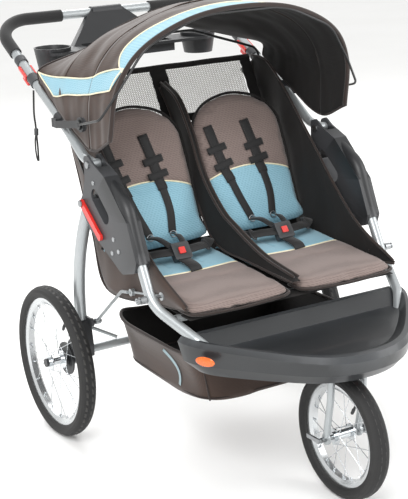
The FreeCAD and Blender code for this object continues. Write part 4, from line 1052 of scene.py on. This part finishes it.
@dataclass
class Seat(SubAssembly):
    """One child's place: its cushion, its reclining back and its five-point harness."""

    side: Side = Side.LEFT
    centre: float = 0.153
    half: float = 0.1405
    back_half: float = 0.137
    back_long: float = 0.366
    strap: float = 0.025

    @property
    def label(self) -> str:
        """The side's name."""
        return self.side.name.lower()

    def x(self, offset: float) -> float:
        """The row frame's X of an offset from the seat's middle."""
        return self.side.value * self.centre + offset

    def on_back(self, offset: float, along: float, lift: float = 0.0) -> Vector:
        """A point on the back's flat front face, or lifted off it."""
        return Vector((self.x(offset), 0, 0)) + BACK_START + BACK_UP * along + BACK_OUT * lift

    def build(self) -> None:
        """Makes the cushion, the back, their piping and binding, and the harness."""
        self.cushion()
        self.back()
        self.harness()

    def cushion(self) -> None:
        """Builds the seat cushion with its cream seam and bound front edge."""
        half, rear, fore = self.half, 0.078, -0.309
        outline = [(half - 0.012, rear), (half - 0.002, rear - 0.02), (half, rear - 0.10), (half, rear - 0.25),
                   (half - 0.002, fore + 0.03), (half - 0.018, fore + 0.006), (half * 0.6, fore + 0.001),
                   (half * 0.2, fore - 0.001)]
        ring = through([(a, b, 0) for a, b in outline] + [(-a, b, 0) for a, b in reversed(outline)], 120, closed=True)
        tilt = math.tan(math.radians(2.5))

        def place(across: float, along: float, height: float) -> Vector:
            """Puts the cushion's own point on the seat."""
            dip = 0.004 * math.cos(min(1.0, abs(across) / half) * math.pi / 2) * (1 if along < -0.15 else 0.4)
            return Vector((self.x(across), along, 0.4815 - (0.078 - along) * tilt + height * 0.86 - dip))

        pad = Pillow.blank(f"seat_cushion_{self.label}", [(p.x, p.y) for p in ring], 0.030, place, SEAT_CLOTH)
        Pillow.inflate(pad, 0.005, Vector((0, 0, 1)))
        down = Vector((0, 0, -1))
        Pillow.pull(pad, lambda spot: spot.y - self.seam_y(spot.x), 0.0035, 0.007, down)
        for quilt in (-0.045, 0.045):
            Pillow.pull(pad, lambda spot: abs(spot.x - self.x(quilt)) + max(0.0, -0.05 - spot.y) * 2, 0.0022,
                        0.006, down)
        tree = face_tree(pad)
        across = [self.x(half * 0.96 * (step / 25 - 1)) for step in range(51)]
        seam = [cast(tree, Vector((x, self.seam_y(x), 0.49)), down, 0.0008) for x in across]
        self.keep(pad, "frame", "taupe_fabric")
        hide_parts(f"seat_pad_{self.label}")
        self.keep(tube(f"seat_seam_{self.label}", seam, 0.0021, CREAM), "frame")
        edge = [place(p.x, p.y, 0.0) for p in ring]
        front = [spot for spot in edge if spot.y < -0.24]
        front.sort(key=lambda spot: spot.x)
        lowered = [spot + Vector((0, -0.003, -0.007)) for spot in front]
        self.keep(tube(f"seat_binding_{self.label}", lowered, 0.0034, BINDING, flat=1.5), "frame")

    def seam_y(self, across: float) -> float:
        """Where the cushion's seam runs at a given X."""
        return SEAT_SEAM + SEAT_BOW * (abs(across) - self.centre) ** 2

    def back(self) -> None:
        """Builds the reclining back with its arched top, seam and bound edge."""
        half, long = self.back_half, self.back_long
        arch_from = long - 0.125
        right = [(half * 0.97, 0.004), (half, 0.05), (half, 0.12), (half, 0.19), (half * 0.99, arch_from)]
        right += [(half * math.cos(turn) ** 0.85, arch_from + 0.122 * math.sin(turn) ** 0.85)
                  for turn in (math.radians(step) for step in (18, 36, 54, 72))]
        ring = through([(a, b, 0) for a, b in right] + [(0, long, 0)] +
                       [(-a, b, 0) for a, b in reversed(right)], 130, closed=True)

        def place(across: float, along: float, height: float) -> Vector:
            """Puts the back's own point on its lean."""
            return self.on_back(across, along, height * 0.88 - 0.017)

        pad = Pillow.blank(f"seat_back_cushion_{self.label}", [(p.x, p.y) for p in ring], 0.034, place, BACK_CLOTH)
        Pillow.inflate(pad, 0.006, BACK_OUT)
        inward = -BACK_OUT
        seam_at = lambda offset: BACK_SEAM - BACK_BOW * offset ** 2
        Pillow.pull(pad, lambda spot: (spot - BACK_START).dot(BACK_UP) - seam_at(abs(spot.x) - self.centre),
                    0.004, 0.008, inward)
        self.surface = face_tree(pad)
        self.line_rear(pad)
        span = half * 0.955
        seam = [cast(self.surface, self.on_back(span * (step / 25 - 1), seam_at(span * (step / 25 - 1))), inward,
                     0.0008) for step in range(51)]
        body = f"back_{self.label}"
        self.keep(pad, body, "taupe_fabric")
        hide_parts(f"seat_back_{self.label}")
        self.keep(tube(f"back_seam_{self.label}", seam, 0.0021, CREAM), body)
        edge = [place(p.x * 1.012, p.y + 0.002, 0.002) for p in ring if p.y > 0.02]
        edge = edge[:]
        start = max(range(len(edge)), key=lambda step: (edge[step] - edge[step - 1]).length)
        edge = edge[start:] + edge[:start]
        self.keep(tube(f"back_binding_{self.label}", edge, 0.0034, BLACK_CLOTH_AND_SHADE, flat=1.2), body)

    @staticmethod
    def line_rear(pad: bpy.types.Object) -> None:
        """Gives the faces behind the back their black lining."""
        pad.data.materials.append(BLACK_CLOTH_AND_SHADE.make())
        for face in pad.data.polygons:
            if face.normal.dot(BACK_OUT) < -0.35:
                face.material_index = 1

    def harness(self) -> None:
        """Lays the shoulder straps, their patches, the lap and crotch straps and the hooks."""
        inward = -BACK_OUT
        body = f"back_{self.label}"
        routes = (((-0.098, 0.285), (-0.088, 0.23), (-0.077, 0.18), (-0.062, 0.13), (-0.046, 0.08), (-0.026, 0.03)),
                  ((0.014, 0.288), (0.026, 0.227), (0.033, 0.183), (0.040, 0.14), (0.046, 0.088), (0.040, 0.03)))
        straps, hardware, stitched = [], [], []
        for number, route in enumerate(routes):
            marks = through([(a, b, 0) for a, b in route], 40)
            path = [cast(self.surface, self.on_back(mark.x, mark.y), inward, 0.0022) for mark in marks]
            wide, narrow = path[:24], path[22:]
            straps.append(ribbon(f"pad_{number}", wide, [BACK_OUT] * len(wide), self.strap + 0.004, 0.0034, WEBBING))
            straps.append(ribbon(f"strap_{number}", narrow, [BACK_OUT] * len(narrow), self.strap - 0.003, 0.0024,
                                 WEBBING))
            for where in (9, 16):
                spot, along = path[where], (path[where + 1] - path[where - 1]).normalized()
                across = along.cross(BACK_OUT)
                tab = [spot + across * (0.029 * (step / 4 - 1)) + BACK_OUT * (0.003 - 0.001 * abs(step - 4) / 4)
                       for step in range(9)]
                straps.append(ribbon(f"tab_{number}_{where}", tab, [BACK_OUT] * 9, 0.019, 0.003, WEBBING))
            end = path[-1]
            loop = [end + BACK_OUT * 0.003 + Vector((0.009 * math.sin(turn), 0, 0)) + BACK_UP * (
                0.008 * math.cos(turn) - 0.004) for turn in (2 * math.pi * step / 16 for step in range(16))]
            hardware.append(tube(f"hook_{number}", loop, 0.0016, STEEL, closed=True))
            stitched.append([spot + BACK_OUT * 0.0022 + path_across * 0.0105 for spot, path_across in
                             ((spot, Vector((1, 0, 0))) for spot in wide)])
            stitched.append([spot + BACK_OUT * 0.0022 - Vector((0.0105, 0, 0)) for spot in wide])
        self.keep(joined(f"shoulder_straps_{self.label}", straps), body, "webbing")
        self.keep(joined(f"harness_hooks_{self.label}", hardware), body)
        thread = Repeats.run(STITCHES, f"strap_stitching_{self.label}", polyline("strap_seams", *stitched), {
            "Spacing": 0.006, "Length": 0.0038, "Thread": 0.0006, "Finish": BINDING.make()})
        self.keep(thread, body)
        self.lap()

    def lap(self) -> None:
        """Lays the straps that run over the cushion to the buckle."""
        buckle = Vector((self.x(0.0), -0.026, 0.522))
        straps = []
        up = Vector((0, 0, 1))
        for sign in (-1, 1):
            marks = [(self.x(sign * 0.128), 0.060, 0.512), (self.x(sign * 0.112), 0.02, 0.524),
                     (self.x(sign * 0.085), -0.008, 0.521), (self.x(sign * 0.055), -0.022, 0.524),
                     (self.x(sign * 0.020), -0.027, 0.523)]
            path = through(marks, 26)
            facing = [Vector((0, -0.55, 0.83))] * len(path)
            straps.append(ribbon("lap", path, facing, self.strap, 0.0026, WEBBING))
            loop = [path[13] + Vector((0.006 * math.cos(turn), 0, 0)) + Vector((0, 0.83, 0.55)) * (
                0.017 * math.sin(turn)) for turn in (2 * math.pi * step / 20 for step in range(20))]
            straps.append(tube("slider", loop, 0.0026, NYLON, closed=True))
            riser = through([tuple(self.on_back(sign * 0.036, 0.026, 0.012)), (self.x(sign * 0.03), 0.035, 0.545),
                             (self.x(sign * 0.022), 0.0, 0.537), (self.x(sign * 0.014), -0.012, 0.53)], 16)
            straps.append(ribbon("riser", riser, [Vector((0, -0.7, 0.7))] * 16, 0.018, 0.0024, WEBBING))
        crotch = through([tuple(buckle + Vector((0, -0.014, -0.012))), (self.x(0), -0.050, 0.505),
                          (self.x(0), -0.075, 0.503), (self.x(0.001), -0.092, 0.4985), (self.x(0.002), -0.10, 0.490)],
                         18)
        straps.append(ribbon("crotch", crotch, [up + Vector((0, -0.5, 0))] * 18, 0.034, 0.003, WEBBING))
        self.keep(joined(f"lap_straps_{self.label}", straps), "frame", "webbing")


# ---------------------------------------------------------------- cloth round the seats


@dataclass
class SeatSurround(SubAssembly):
    """The side panels, the divider and the rear panel with its net windows."""

    side_x: float = 0.2965
    deck_half: float = 0.2915
    lower: tuple[Point, ...] = ((0, -0.300, 0.470), (0, -0.180, 0.452), (0, 0.100, 0.420), (0, 0.170, 0.560),
                                (0, 0.268, 0.790), (0, 0.328, 0.905))
    upper: tuple[Point, ...] = ((0, -0.297, 0.478), (0, -0.130, 0.560), (0, 0.060, 0.745), (0, 0.165, 0.850),
                                (0, 0.250, 0.915), (0, 0.324, 0.924))
    ridge: tuple[Point, ...] = ((0, -0.304, 0.494), (0, -0.168, 0.515), (0, -0.041, 0.560), (0, 0.025, 0.592),
                                (0, 0.105, 0.668), (0, 0.160, 0.770), (0, 0.222, 0.850), (0, 0.300, 0.884))
    valley: tuple[Point, ...] = ((0, -0.302, 0.482), (0, -0.12, 0.488), (0, 0.040, 0.502), (0, 0.126, 0.600),
                                 (0, 0.240, 0.800), (0, 0.299, 0.872))
    window_low: Point = (0, 0.262, 0.790)
    lean: float = math.radians(28)

    def build(self) -> None:
        """Makes the panels and their windows."""
        for side in Side:
            self.side_panel(side)
        self.divider()
        self.deck()
        self.rear_panel()

    def deck(self) -> None:
        """Makes the black cloth deck that carries both cushions and turns up behind them."""
        profile = through([(0, -0.302, 0.4475), (0, -0.10, 0.4545), (0, 0.060, 0.4615), (0, 0.098, 0.466),
                           (0, 0.1105, 0.480), (0, 0.1135, 0.502)], 40)
        columns = 41
        corners = [Vector((self.deck_half * (column / 20 - 1), spot.y, spot.z))
                   for spot in profile for column in range(columns)]
        deck = piece("seat_deck", corners, grid_faces(len(profile), columns), BLACK_CLOTH_AND_SHADE)
        rumple(deck, 0.0015, 0.10, 5.0)
        thicken(deck, 0.0020)
        self.crumple(deck)

    def crumple(self, thing: bpy.types.Object, slot: str = "") -> bpy.types.Object:
        """Hangs a panel on the frame, gives it its own mesh and notes it."""
        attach(thing, "frame")
        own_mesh(thing)
        return self.note(thing, slot)

    def side_panel(self, side: Side) -> None:
        """Makes one side panel: brown outside, its inside painted near-black as shade, bound along its edges."""
        sign = side.value
        rows, count = 22, 60
        low, high = through(self.lower, count), through(self.upper, count)
        corners = []
        for row in range(rows):
            share = row / (rows - 1)
            for bottom, top in zip(low, high):
                spot = bottom + (top - bottom) * share
                bulge = 0.006 * math.sin(math.pi * share)
                corners.append(Vector((sign * (self.side_x + bulge), spot.y, spot.z)))
        label = side.name.lower()
        panel = piece(f"side_panel_{label}", corners, grid_faces(rows, count), BROWN, BLACK_CLOTH_AND_SHADE)
        made = bmesh.new()
        made.from_mesh(panel.data)
        for face in made.faces:
            if face.normal.x * sign < 0:
                face.normal_flip()
        made.to_mesh(panel.data)
        made.free()
        rumple(panel, 0.005, 0.09, 7.0 + sign, (1.0, 1.6, 0.7))
        # the near-black inner face is painted shade; the panel is brown on both sides
        thicken(panel, 0.0022, shaded_inside_slot=1)
        self.crumple(panel, "brown_fabric")
        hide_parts("side_panels")
        edges = [tube("edge", [Vector((sign * self.side_x, spot.y, spot.z)) for spot in line], 0.0032, BINDING)
                 for line in (low, high)]
        self.crumple(joined(f"side_binding_{label}", edges))

    def divider(self) -> None:
        """Makes the divider between the seats: two sheets that meet at a double-bound ridge."""
        rows, count = 12, 60
        low, high = through(self.valley, count), through(self.ridge, count)
        corners = []
        for sign in (-1, 1):
            for row in range(rows):
                share = row / (rows - 1)
                for bottom, top in zip(low, high):
                    spot = bottom + (top - bottom) * share
                    spread = 0.012 - 0.007 * share ** 0.6
                    corners.append(Vector((sign * spread, spot.y, spot.z)))
        half = rows * count
        faces = grid_faces(rows, count) + grid_faces(rows, count, first=half)
        for edge in (0, (rows - 1) * count):
            faces += [(edge + step, edge + step + 1, half + edge + step + 1, half + edge + step)
                      for step in range(count - 1)]
        for end in (0, count - 1):
            faces += [(end + row * count, end + (row + 1) * count, half + end + (row + 1) * count,
                       half + end + row * count) for row in range(rows - 1)]
        wall = piece("seat_divider", corners, faces, BLACK_CLOTH_AND_SHADE)
        rumple(wall, 0.002, 0.08, 2.0, (1.0, 1.5, 0.8))
        self.crumple(wall, "brown_fabric")
        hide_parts("back_panel")
        cords = []
        for sign in (-1, 1):
            cords.append(tube("ridge", [Vector((sign * 0.0065, spot.y, spot.z + 0.001)) for spot in high], 0.0032,
                              BINDING))
            cords.append(tube("valley", [Vector((sign * 0.0115, spot.y, spot.z)) for spot in low], 0.0026, BINDING))
        self.crumple(joined("divider_binding", cords))

    def on_rear(self, x: float, along: float, lift: float = 0.0) -> Vector:
        """A point on the rear panel, at a distance up its lean."""
        up = Vector((0, math.sin(self.lean), math.cos(self.lean)))
        out = Vector((0, -math.cos(self.lean), math.sin(self.lean)))
        return Vector(self.window_low) + Vector((x, 0, 0)) + up * along + out * lift

    def rear_panel(self) -> None:
        """Makes the rear panel: dark strips round two windows of pale net."""
        strips = []
        bars = (((-0.292, 0.0), (0.292, 0.0), 0.022), ((-0.292, 0.146), (0.292, 0.146), 0.016),
                ((-0.276, 0.0), (-0.276, 0.146), 0.034), ((0.276, 0.0), (0.276, 0.146), 0.034),
                ((0.0, 0.0), (0.0, 0.146), 0.050))
        out = self.on_rear(0, 0, 1) - self.on_rear(0, 0)
        for number, (start, end, wide) in enumerate(bars):
            path = [self.on_rear(start[0] + (end[0] - start[0]) * step / 20,
                                 start[1] + (end[1] - start[1]) * step / 20,
                                 0.0015 * math.sin(step * 1.3) + 0.0006 * number) for step in range(21)]
            strips.append(ribbon(f"strip_{number}", path, [out] * 21, wide, 0.0024, BLACK_CLOTH_AND_SHADE))
        rear = joined("rear_panel_frame", strips)
        self.crumple(rear, "brown_fabric")
        for side in Side:
            sign = side.value
            corners, edges = [], []
            across, rows, pitch = 47, 28, 0.0048
            for row in range(rows):
                for column in range(across):
                    shift = pitch / 2 if row % 2 else 0.0
                    x = sign * (0.018 + shift + column * 0.0052)
                    bow = 0.004 * math.sin(math.pi * row / (rows - 1))
                    corners.append(self.on_rear(x, 0.006 + row * 0.005, -bow))
            for row in range(rows - 1):
                for column in range(across):
                    here = row * across + column
                    aside = column + (1 if row % 2 else -1)
                    edges.append((here, here + across))
                    if 0 <= aside < across:
                        edges.append((here, (row + 1) * across + aside))
            mesh = bpy.data.meshes.new("net_lines")
            mesh.from_pydata([tuple(corner) for corner in corners], edges, [])
            net = Repeats.run(NETTING, f"net_window_{side.name.lower()}", mesh, {
                "Thread": 0.0009, "Finish": NET.make()})
            self.crumple(net)


# ---------------------------------------------------------------- basket


@dataclass
class Basket(SubAssembly):
    """The cloth basket under the seats, hung from its rim and sagging at its floor."""

    half: float = 0.262
    rear: float = 0.163
    fore: float = -0.262
    rim: float = 0.338
    low: float = 0.206
    around: int = 128

    def ring(self, level: float, share: float = 1.0) -> list[Vector]:
        """One level of the shell, level 1 at its rim and 0 at its floor, drawn in by a share."""
        half = (self.half - 0.030 * (1 - level)) * share
        middle = (self.rear + self.fore) / 2
        deep = ((self.rear - self.fore) / 2 - 0.008 * (1 - level)) * share
        spots = []
        for step in range(self.around):
            turn = 2 * math.pi * (step + 0.5) / self.around
            cosine, sine = math.cos(turn), math.sin(turn)
            power = 0.28 if share > 0.7 else 0.28 + (0.7 - share)
            x = half * math.copysign(abs(cosine) ** power, cosine)
            y = middle + deep * math.copysign(abs(sine) ** power, sine)
            corner = (abs(cosine) * abs(sine) * 2) ** 2
            z = self.low + (self.rim - self.low) * level
            z -= 0.012 * level ** 3 * (1 - corner)
            pinch = 0.010 * math.sin(math.pi * level) * (1 - corner)
            x -= math.copysign(pinch * abs(cosine), cosine)
            y -= math.copysign(pinch * abs(sine), sine)
            spots.append(Vector((x, y, z)))
        return spots

    def build(self) -> None:
        """Makes the shell, its rim, seams and reflective strips."""
        levels = [1.0, 0.9, 0.78, 0.64, 0.5, 0.36, 0.22, 0.1, 0.02]
        rings = [self.ring(level) for level in levels]
        for share in (0.95, 0.85, 0.7, 0.5, 0.28, 0.1):
            dip = 0.004 * (1 - share ** 2)
            rings.append([spot + Vector((0, 0, -dip)) for spot in self.ring(0.0, share)])
        corners = [spot for ring in rings for spot in ring]
        faces = grid_faces(len(rings), self.around, wrap=True)
        faces.append(tuple(range(len(corners) - self.around, len(corners))))
        # the shell's inside takes the near-black second slot: painted shade on brown cloth
        shell = piece("basket_shell", corners, faces, BROWN, BLACK_CLOTH_AND_SHADE)
        made = bmesh.new()
        made.from_mesh(shell.data)
        inside = Vector((0, -0.05, 0.30))
        for face in made.faces:
            if face.normal.dot(face.calc_center_median() - inside) < 0:
                face.normal_flip()
        made.to_mesh(shell.data)
        made.free()
        rumple(shell, 0.006, 0.08, 4.0, (1.0, 1.0, 0.6))
        thicken(shell, 0.0022, shaded_inside_slot=1)
        self.crumple(shell, "brown_fabric")
        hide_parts("basket")
        rim = self.ring(1.0)
        parts = [tube("rim", [spot + Vector((0, 0, 0.001)) for spot in rim], 0.0042, BINDING, closed=True),
                 tube("floor", [spot for spot in self.ring(0.06)], 0.0022, BINDING, closed=True)]
        for number in range(4):
            step = int(self.around * (number + 0.5) / 4)
            parts.append(tube("corner", [self.ring(level)[step] * 1.0 for level in levels], 0.0022, BINDING))
        self.crumple(joined("basket_binding", parts))
        strips = []
        for sign in (-1, 1):
            path = []
            for step in range(20):
                level = 0.82 - 0.68 * step / 19
                y = -0.100 - 0.022 * math.sin(math.pi * step / 19) - 0.04 * step / 19
                ring = [spot for spot in self.ring(level) if spot.x * sign > 0.1]
                near = min(ring, key=lambda spot: abs(spot.y - y))
                path.append(Vector((near.x + sign * 0.0045, y, near.z)))
            strips.append(ribbon("reflector", path, [Vector((sign, 0, 0))] * 20, 0.009, 0.0014, REFLECTIVE))
        self.crumple(joined("basket_reflective_strips", strips))

    def crumple(self, thing: bpy.types.Object, slot: str = "") -> bpy.types.Object:
        """Hangs a basket piece on the frame, gives it its own mesh and notes it."""
        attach(thing, "frame")
        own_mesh(thing)
        return self.note(thing, slot)


# ---------------------------------------------------------------- wheels


@dataclass
class Wheel(SubAssembly):
    """Tread, nipples and valve on one wheel, whose axle lies along X."""

    body: str = "front_wheel"
    centre: tuple[float, float, float] = (0.0, -0.481, 0.155)
    radius: float = 0.155
    tyre: float = 0.048
    nipple_at: float = 0.108

    def block(self) -> bpy.types.Object:
        """One tread block: a wavy bar wrapped over the tyre's shoulder, its X outward from the axle."""
        section = self.tyre / 2
        crown = self.radius - section
        pitch = 2 * math.pi / self.count
        corners, faces = [], []
        for lane, (start, end, shift) in enumerate(((-62, -12, 0.0), (12, 62, 0.5))):
            first = len(corners)
            for level in (1.0011, 0.99):
                for row in range(6):
                    lean = math.radians(start + (end - start) * row / 5)
                    wave = pitch * (0.16 * math.sin(row * 1.25) + shift)
                    for edge in (0.0, 0.62):
                        turn = wave + edge * pitch
                        reach = crown + (section + (0.0011 if level > 1 else -0.002)) * math.cos(lean)
                        corners.append(Vector((reach * math.cos(turn), reach * math.sin(turn),
                                               (section + (0.0011 if level > 1 else -0.002)) * math.sin(lean))))
            faces += grid_faces(6, 2, first=first) + grid_faces(6, 2, first=first + 12)
            for row in range(5):
                for edge in (0, 1):
                    low = first + row * 2 + edge
                    faces.append((low, low + 2, low + 14, low + 12))
            faces += [(first, first + 1, first + 13, first + 12), (first + 10, first + 11, first + 23, first + 22)]
        return piece(f"tread_block_{self.body}", corners, faces, RUBBER)

    @property
    def count(self) -> int:
        """How many tread blocks go round, about one for each 22 mm."""
        return int(2 * math.pi * self.radius / 0.022)

    def build(self) -> None:
        """Puts the tread, the spoke nipples and the valve on the wheel."""
        place = Matrix.Translation(Vector(self.centre)) @ Matrix.Rotation(math.radians(90), 4, "Y")
        parts = []
        block = self.block()
        for face in block.data.polygons:
            face.use_smooth = False
        block.data.transform(Matrix.Translation(Vector((-0.001, 0, 0))))
        parts.append((block, self.count, 0.001, RUBBER, f"tread_{self.body}"))
        nipple = lathe("nipple", ((-0.006, 0.0012), (-0.005, 0.0019), (0.004, 0.0021), (0.006, 0.0014)),
                       (0, 0, 0), (1, 0, 0), CHROME, sides=6)
        parts.append((nipple, 20, self.nipple_at, CHROME, f"spoke_nipples_{self.body}"))
        for template, count, radius, finish, name in parts:
            start = bpy.data.meshes.new("start")
            ring = Repeats.run(RING, name, start, {
                "Template": template, "Count": count, "Radius": radius, "Finish": finish.make()}, place)
            bpy.data.objects.remove(template)
            self.keep(ring, self.body, "tyre" if finish is RUBBER else "chrome")
        foot = Vector(self.centre) + Vector((0, -0.5, 0.866)) * (self.nipple_at + 0.004)
        inward = Vector((0, 0.5, -0.866))
        valve = lathe(f"valve_{self.body}", ((0.0, 0.0045), (0.008, 0.0042), (0.012, 0.003), (0.022, 0.0028),
                                             (0.023, 0.0042), (0.036, 0.0040), (0.039, 0.0025)),
                      foot, inward, NYLON, sides=14)
        self.keep(valve, self.body)


# ---------------------------------------------------------------- handle details


@dataclass
class HandleDetails(SubAssembly):
    """The wrist strap and the webbing under the handle tubes."""

    strap_route: tuple[Point, ...] = (
        (-0.351, 0.347, 0.89944), (-0.352, 0.349, 0.86944), (-0.354, 0.349, 0.83744), (-0.352, 0.347, 0.80744),
        (-0.351, 0.348, 0.77744), (-0.349, 0.350, 0.74744), (-0.350, 0.349, 0.71544))

    def build(self) -> None:
        """Makes the cord with its slider and loop, and the side webbing."""
        self.wrist_strap()
        self.side_webbing()

    def wrist_strap(self) -> None:
        """Hangs the wrist strap as one smooth cord, with a slider and the return side of its loop."""
        curve = bpy.data.curves.new("wrist_cord", "CURVE")
        curve.dimensions = "3D"
        curve.bevel_depth = 0.0025
        curve.bevel_resolution = 3
        spline = curve.splines.new("NURBS")
        spline.points.add(len(self.strap_route) - 1)
        for point, spot in zip(spline.points, self.strap_route):
            point.co = (*spot, 1.0)
        spline.order_u = 3
        spline.use_endpoint_u = True
        curve.materials.append(WEBBING.make())
        cord = bpy.data.objects.new("wrist_cord", curve)
        bpy.context.scene.collection.objects.link(cord)
        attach(cord, "handle")
        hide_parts("wrist_strap")
        self.made.append(cord)
        slider = lathe("wrist_slider", ((-0.009, 0.0042), (-0.008, 0.0055), (0.008, 0.0055), (0.009, 0.0042)),
                       (-0.3515, 0.3475, 0.792), (0.05, 0.0, 1.0), NYLON, sides=12)
        self.keep(slider, "handle")
        back = through([(-0.3512, 0.3520, 0.786), (-0.3505, 0.361, 0.765), (-0.3500, 0.363, 0.740),
                        (-0.3500, 0.358, 0.720), (-0.3500, 0.3515, 0.7150)], 24)
        loop = self.keep(tube("wrist_loop", back, 0.0022, WEBBING), "handle")
        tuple(self.strap_route[0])

    def side_webbing(self) -> None:
        """Runs a wide strap under each handle tube down to the seat's side."""
        for side in Side:
            sign = side.value
            path = through([(sign * 0.316, 0.395, 0.884), (sign * 0.314, 0.352, 0.856), (sign * 0.311, 0.285, 0.812),
                            (sign * 0.307, 0.225, 0.765), (sign * 0.303, 0.180, 0.700)], 34)
            out = [Vector((sign * 0.9, 0.2, -0.4))] * len(path)
            strap = ribbon(f"side_webbing_{side.name.lower()}", path, out, 0.030, 0.0026, WEBBING)
            self.keep(strap, "handle", "webbing")


# ---------------------------------------------------------------- carried-over nodes


class FrameFinishes:
    """Gives every visible CAD node its real finish."""

    GROUPS: tuple[tuple[Finish, tuple[str, ...]], ...] = (
        (SILVER, ("front_tube_left", "front_tube_right", "handle_tube_left", "handle_tube_right", "handle_bar",
                  "rear_leg_left", "rear_leg_right", "rear_cross_bar", "rear_braces", "front_braces", "front_fork",
                  "seat_cross_tube")),
        (NYLON, ("hinge_housing_left", "hinge_housing_right", "handle_collars", "canopy_brackets", "canopy_hubs",
                 "axle_brackets", "steering_head", "parent_tray", "buckle_left", "buckle_right", "brake_pedal")),
        (TRAY_PLASTIC, ("footrest_tray",)),
        (STEEL, ("frame_pins", "front_axle", "quick_release_lever")),
        (CHROME, ("rear_left_spokes", "rear_right_spokes", "front_spokes", "rear_left_hub", "rear_right_hub",
                  "front_hub")),
        (RIM_ALLOY, ("rear_left_rim", "rear_right_rim", "front_rim")),
        (RUBBER, ("rear_left_tyre", "rear_right_tyre", "front_tyre")),
        (RED_ABS, ("release_latch_left", "release_latch_right", "fold_lever_left", "fold_lever_right",
                   "swivel_knob", "buckle_button_left", "buckle_button_right")),
        (LENS, ("tray_reflectors",)),
        (FOAM, ("handle_grips",)),
        (BLACK_METAL, ("canopy_rear_bow", "canopy_front_bow")),
    )

    def dress(self) -> None:
        """Assigns the finishes."""
        for finish, names in self.GROUPS:
            material = finish.make()
            for name in names:
                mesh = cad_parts[name].data
                mesh.materials.clear()
                mesh.materials.append(material)
            LOG.info("%s on %d nodes", finish.name, len(names))


# ---------------------------------------------------------------- studio


@dataclass
class Studio:
    """Pale floor, soft lights and the camera."""

    eye: tuple[float, float, float] = (-1.7409, -2.8396, 1.4657)
    yaw: float = math.radians(30.47)
    pitch: float = math.radians(16.26)
    roll: float = math.radians(-2.31)
    lens: float = 98.25

    def build(self) -> None:
        """Sets the floor, the lights, the world and the camera."""
        self.floor()
        self.light("key_light", (-2.6, -2.6, 3.4), 2.4, 150)
        self.light("fill_light", (3.0, -2.2, 2.2), 2.6, 70)
        self.light("rear_light", (0.4, 3.0, 3.0), 2.6, 90)
        world = bpy.data.worlds.new("soft_studio")
        bpy.context.scene.world = world
        world.use_nodes = True
        back = world.node_tree.nodes["Background"]
        back.inputs["Color"].default_value = srgb("#fbfbfa")
        back.inputs["Strength"].default_value = 0.95
        bpy.context.scene.view_settings.view_transform = "Standard"
        self.camera()

    def floor(self) -> None:
        """Lays a large pale floor that fades into the backdrop."""
        reach = 14.0
        mesh = bpy.data.meshes.new("studio_floor")
        mesh.from_pydata([(-reach, -reach, 0), (reach, -reach, 0), (reach, reach, 0), (-reach, reach, 0)], [],
                         [(0, 1, 2, 3)])
        pale = bpy.data.materials.new("pale_paper")
        pale.use_nodes = True
        shader = pale.node_tree.nodes["Principled BSDF"]
        grain = add_node(pale.node_tree, "ShaderNodeTexNoise", {"Scale": 40.0, "Detail": 2.0})
        tone = add_node(pale.node_tree, "ShaderNodeMix", {
            "Factor": grain.outputs["Fac"], 6: srgb("#f7f7f6"), 7: srgb("#ffffff")}, data_type="RGBA")
        pale.node_tree.links.new(tone.outputs[2], shader.inputs["Base Color"])
        shader.inputs["Roughness"].default_value = 0.9
        mesh.materials.append(pale)
        floor = bpy.data.objects.new("studio_floor", mesh)
        bpy.context.scene.collection.objects.link(floor)

    @staticmethod
    def light(name: str, spot: Point, size: float, power: float) -> None:
        """Hangs a square soft light that looks at the stroller's middle."""
        lamp = bpy.data.lights.new(name, "AREA")
        lamp.size = size
        lamp.energy = power
        thing = bpy.data.objects.new(name, lamp)
        thing.location = spot
        thing.rotation_euler = (Vector((0, 0, 0.5)) - Vector(spot)).to_track_quat("-Z", "Y").to_euler()
        bpy.context.scene.collection.objects.link(thing)

    def camera(self) -> None:
        """Places the camera."""
        ahead = Vector((math.sin(self.yaw) * math.cos(self.pitch), math.cos(self.yaw) * math.cos(self.pitch),
                        -math.sin(self.pitch)))
        right = Vector((math.cos(self.yaw), -math.sin(self.yaw), 0))
        up = right.cross(ahead)
        right, up = (right * math.cos(self.roll) + up * math.sin(self.roll),
                     up * math.cos(self.roll) - right * math.sin(self.roll))
        lens = bpy.data.cameras.new("camera")
        lens.sensor_fit = "VERTICAL"
        lens.sensor_height = 36
        lens.lens = self.lens
        lens.dof.use_dof = False
        thing = bpy.data.objects.new("camera", lens)
        turn = Matrix((right, up, -ahead)).transposed()
        thing.matrix_world = Matrix.Translation(Vector(self.eye)) @ turn.to_4x4()
        bpy.context.scene.collection.objects.link(thing)
        bpy.context.scene.camera = thing


RING = Repeats.ring()
STITCHES = Repeats.stitches()
NETTING = Repeats.net()


def main() -> None:
    """Builds every sub-assembly in order."""
    logging.basicConfig(level=logging.INFO, format="%(name)s: %(message)s")
    Studio().build()
    FrameFinishes().dress()
    assemblies: list[SubAssembly] = [
        HandleDetails(), Canopy(), Seat(side=Side.LEFT), Seat(side=Side.RIGHT), SeatSurround(), Basket(),
        Wheel(body="front_wheel"),
        Wheel(body="rear_wheel_left", centre=(-0.384, 0.255, 0.200), radius=0.200, tyre=0.045, nipple_at=0.152),
        Wheel(body="rear_wheel_right", centre=(0.384, 0.255, 0.200), radius=0.200, tyre=0.045, nipple_at=0.152)]
    for assembly in assemblies:
        assembly.build()
    webbing = next(thing for assembly in assemblies for thing in assembly.made
                   if thing.name == "lap_straps_left")
    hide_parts("harness_webbing")


if __name__ == "__main__":
    main()
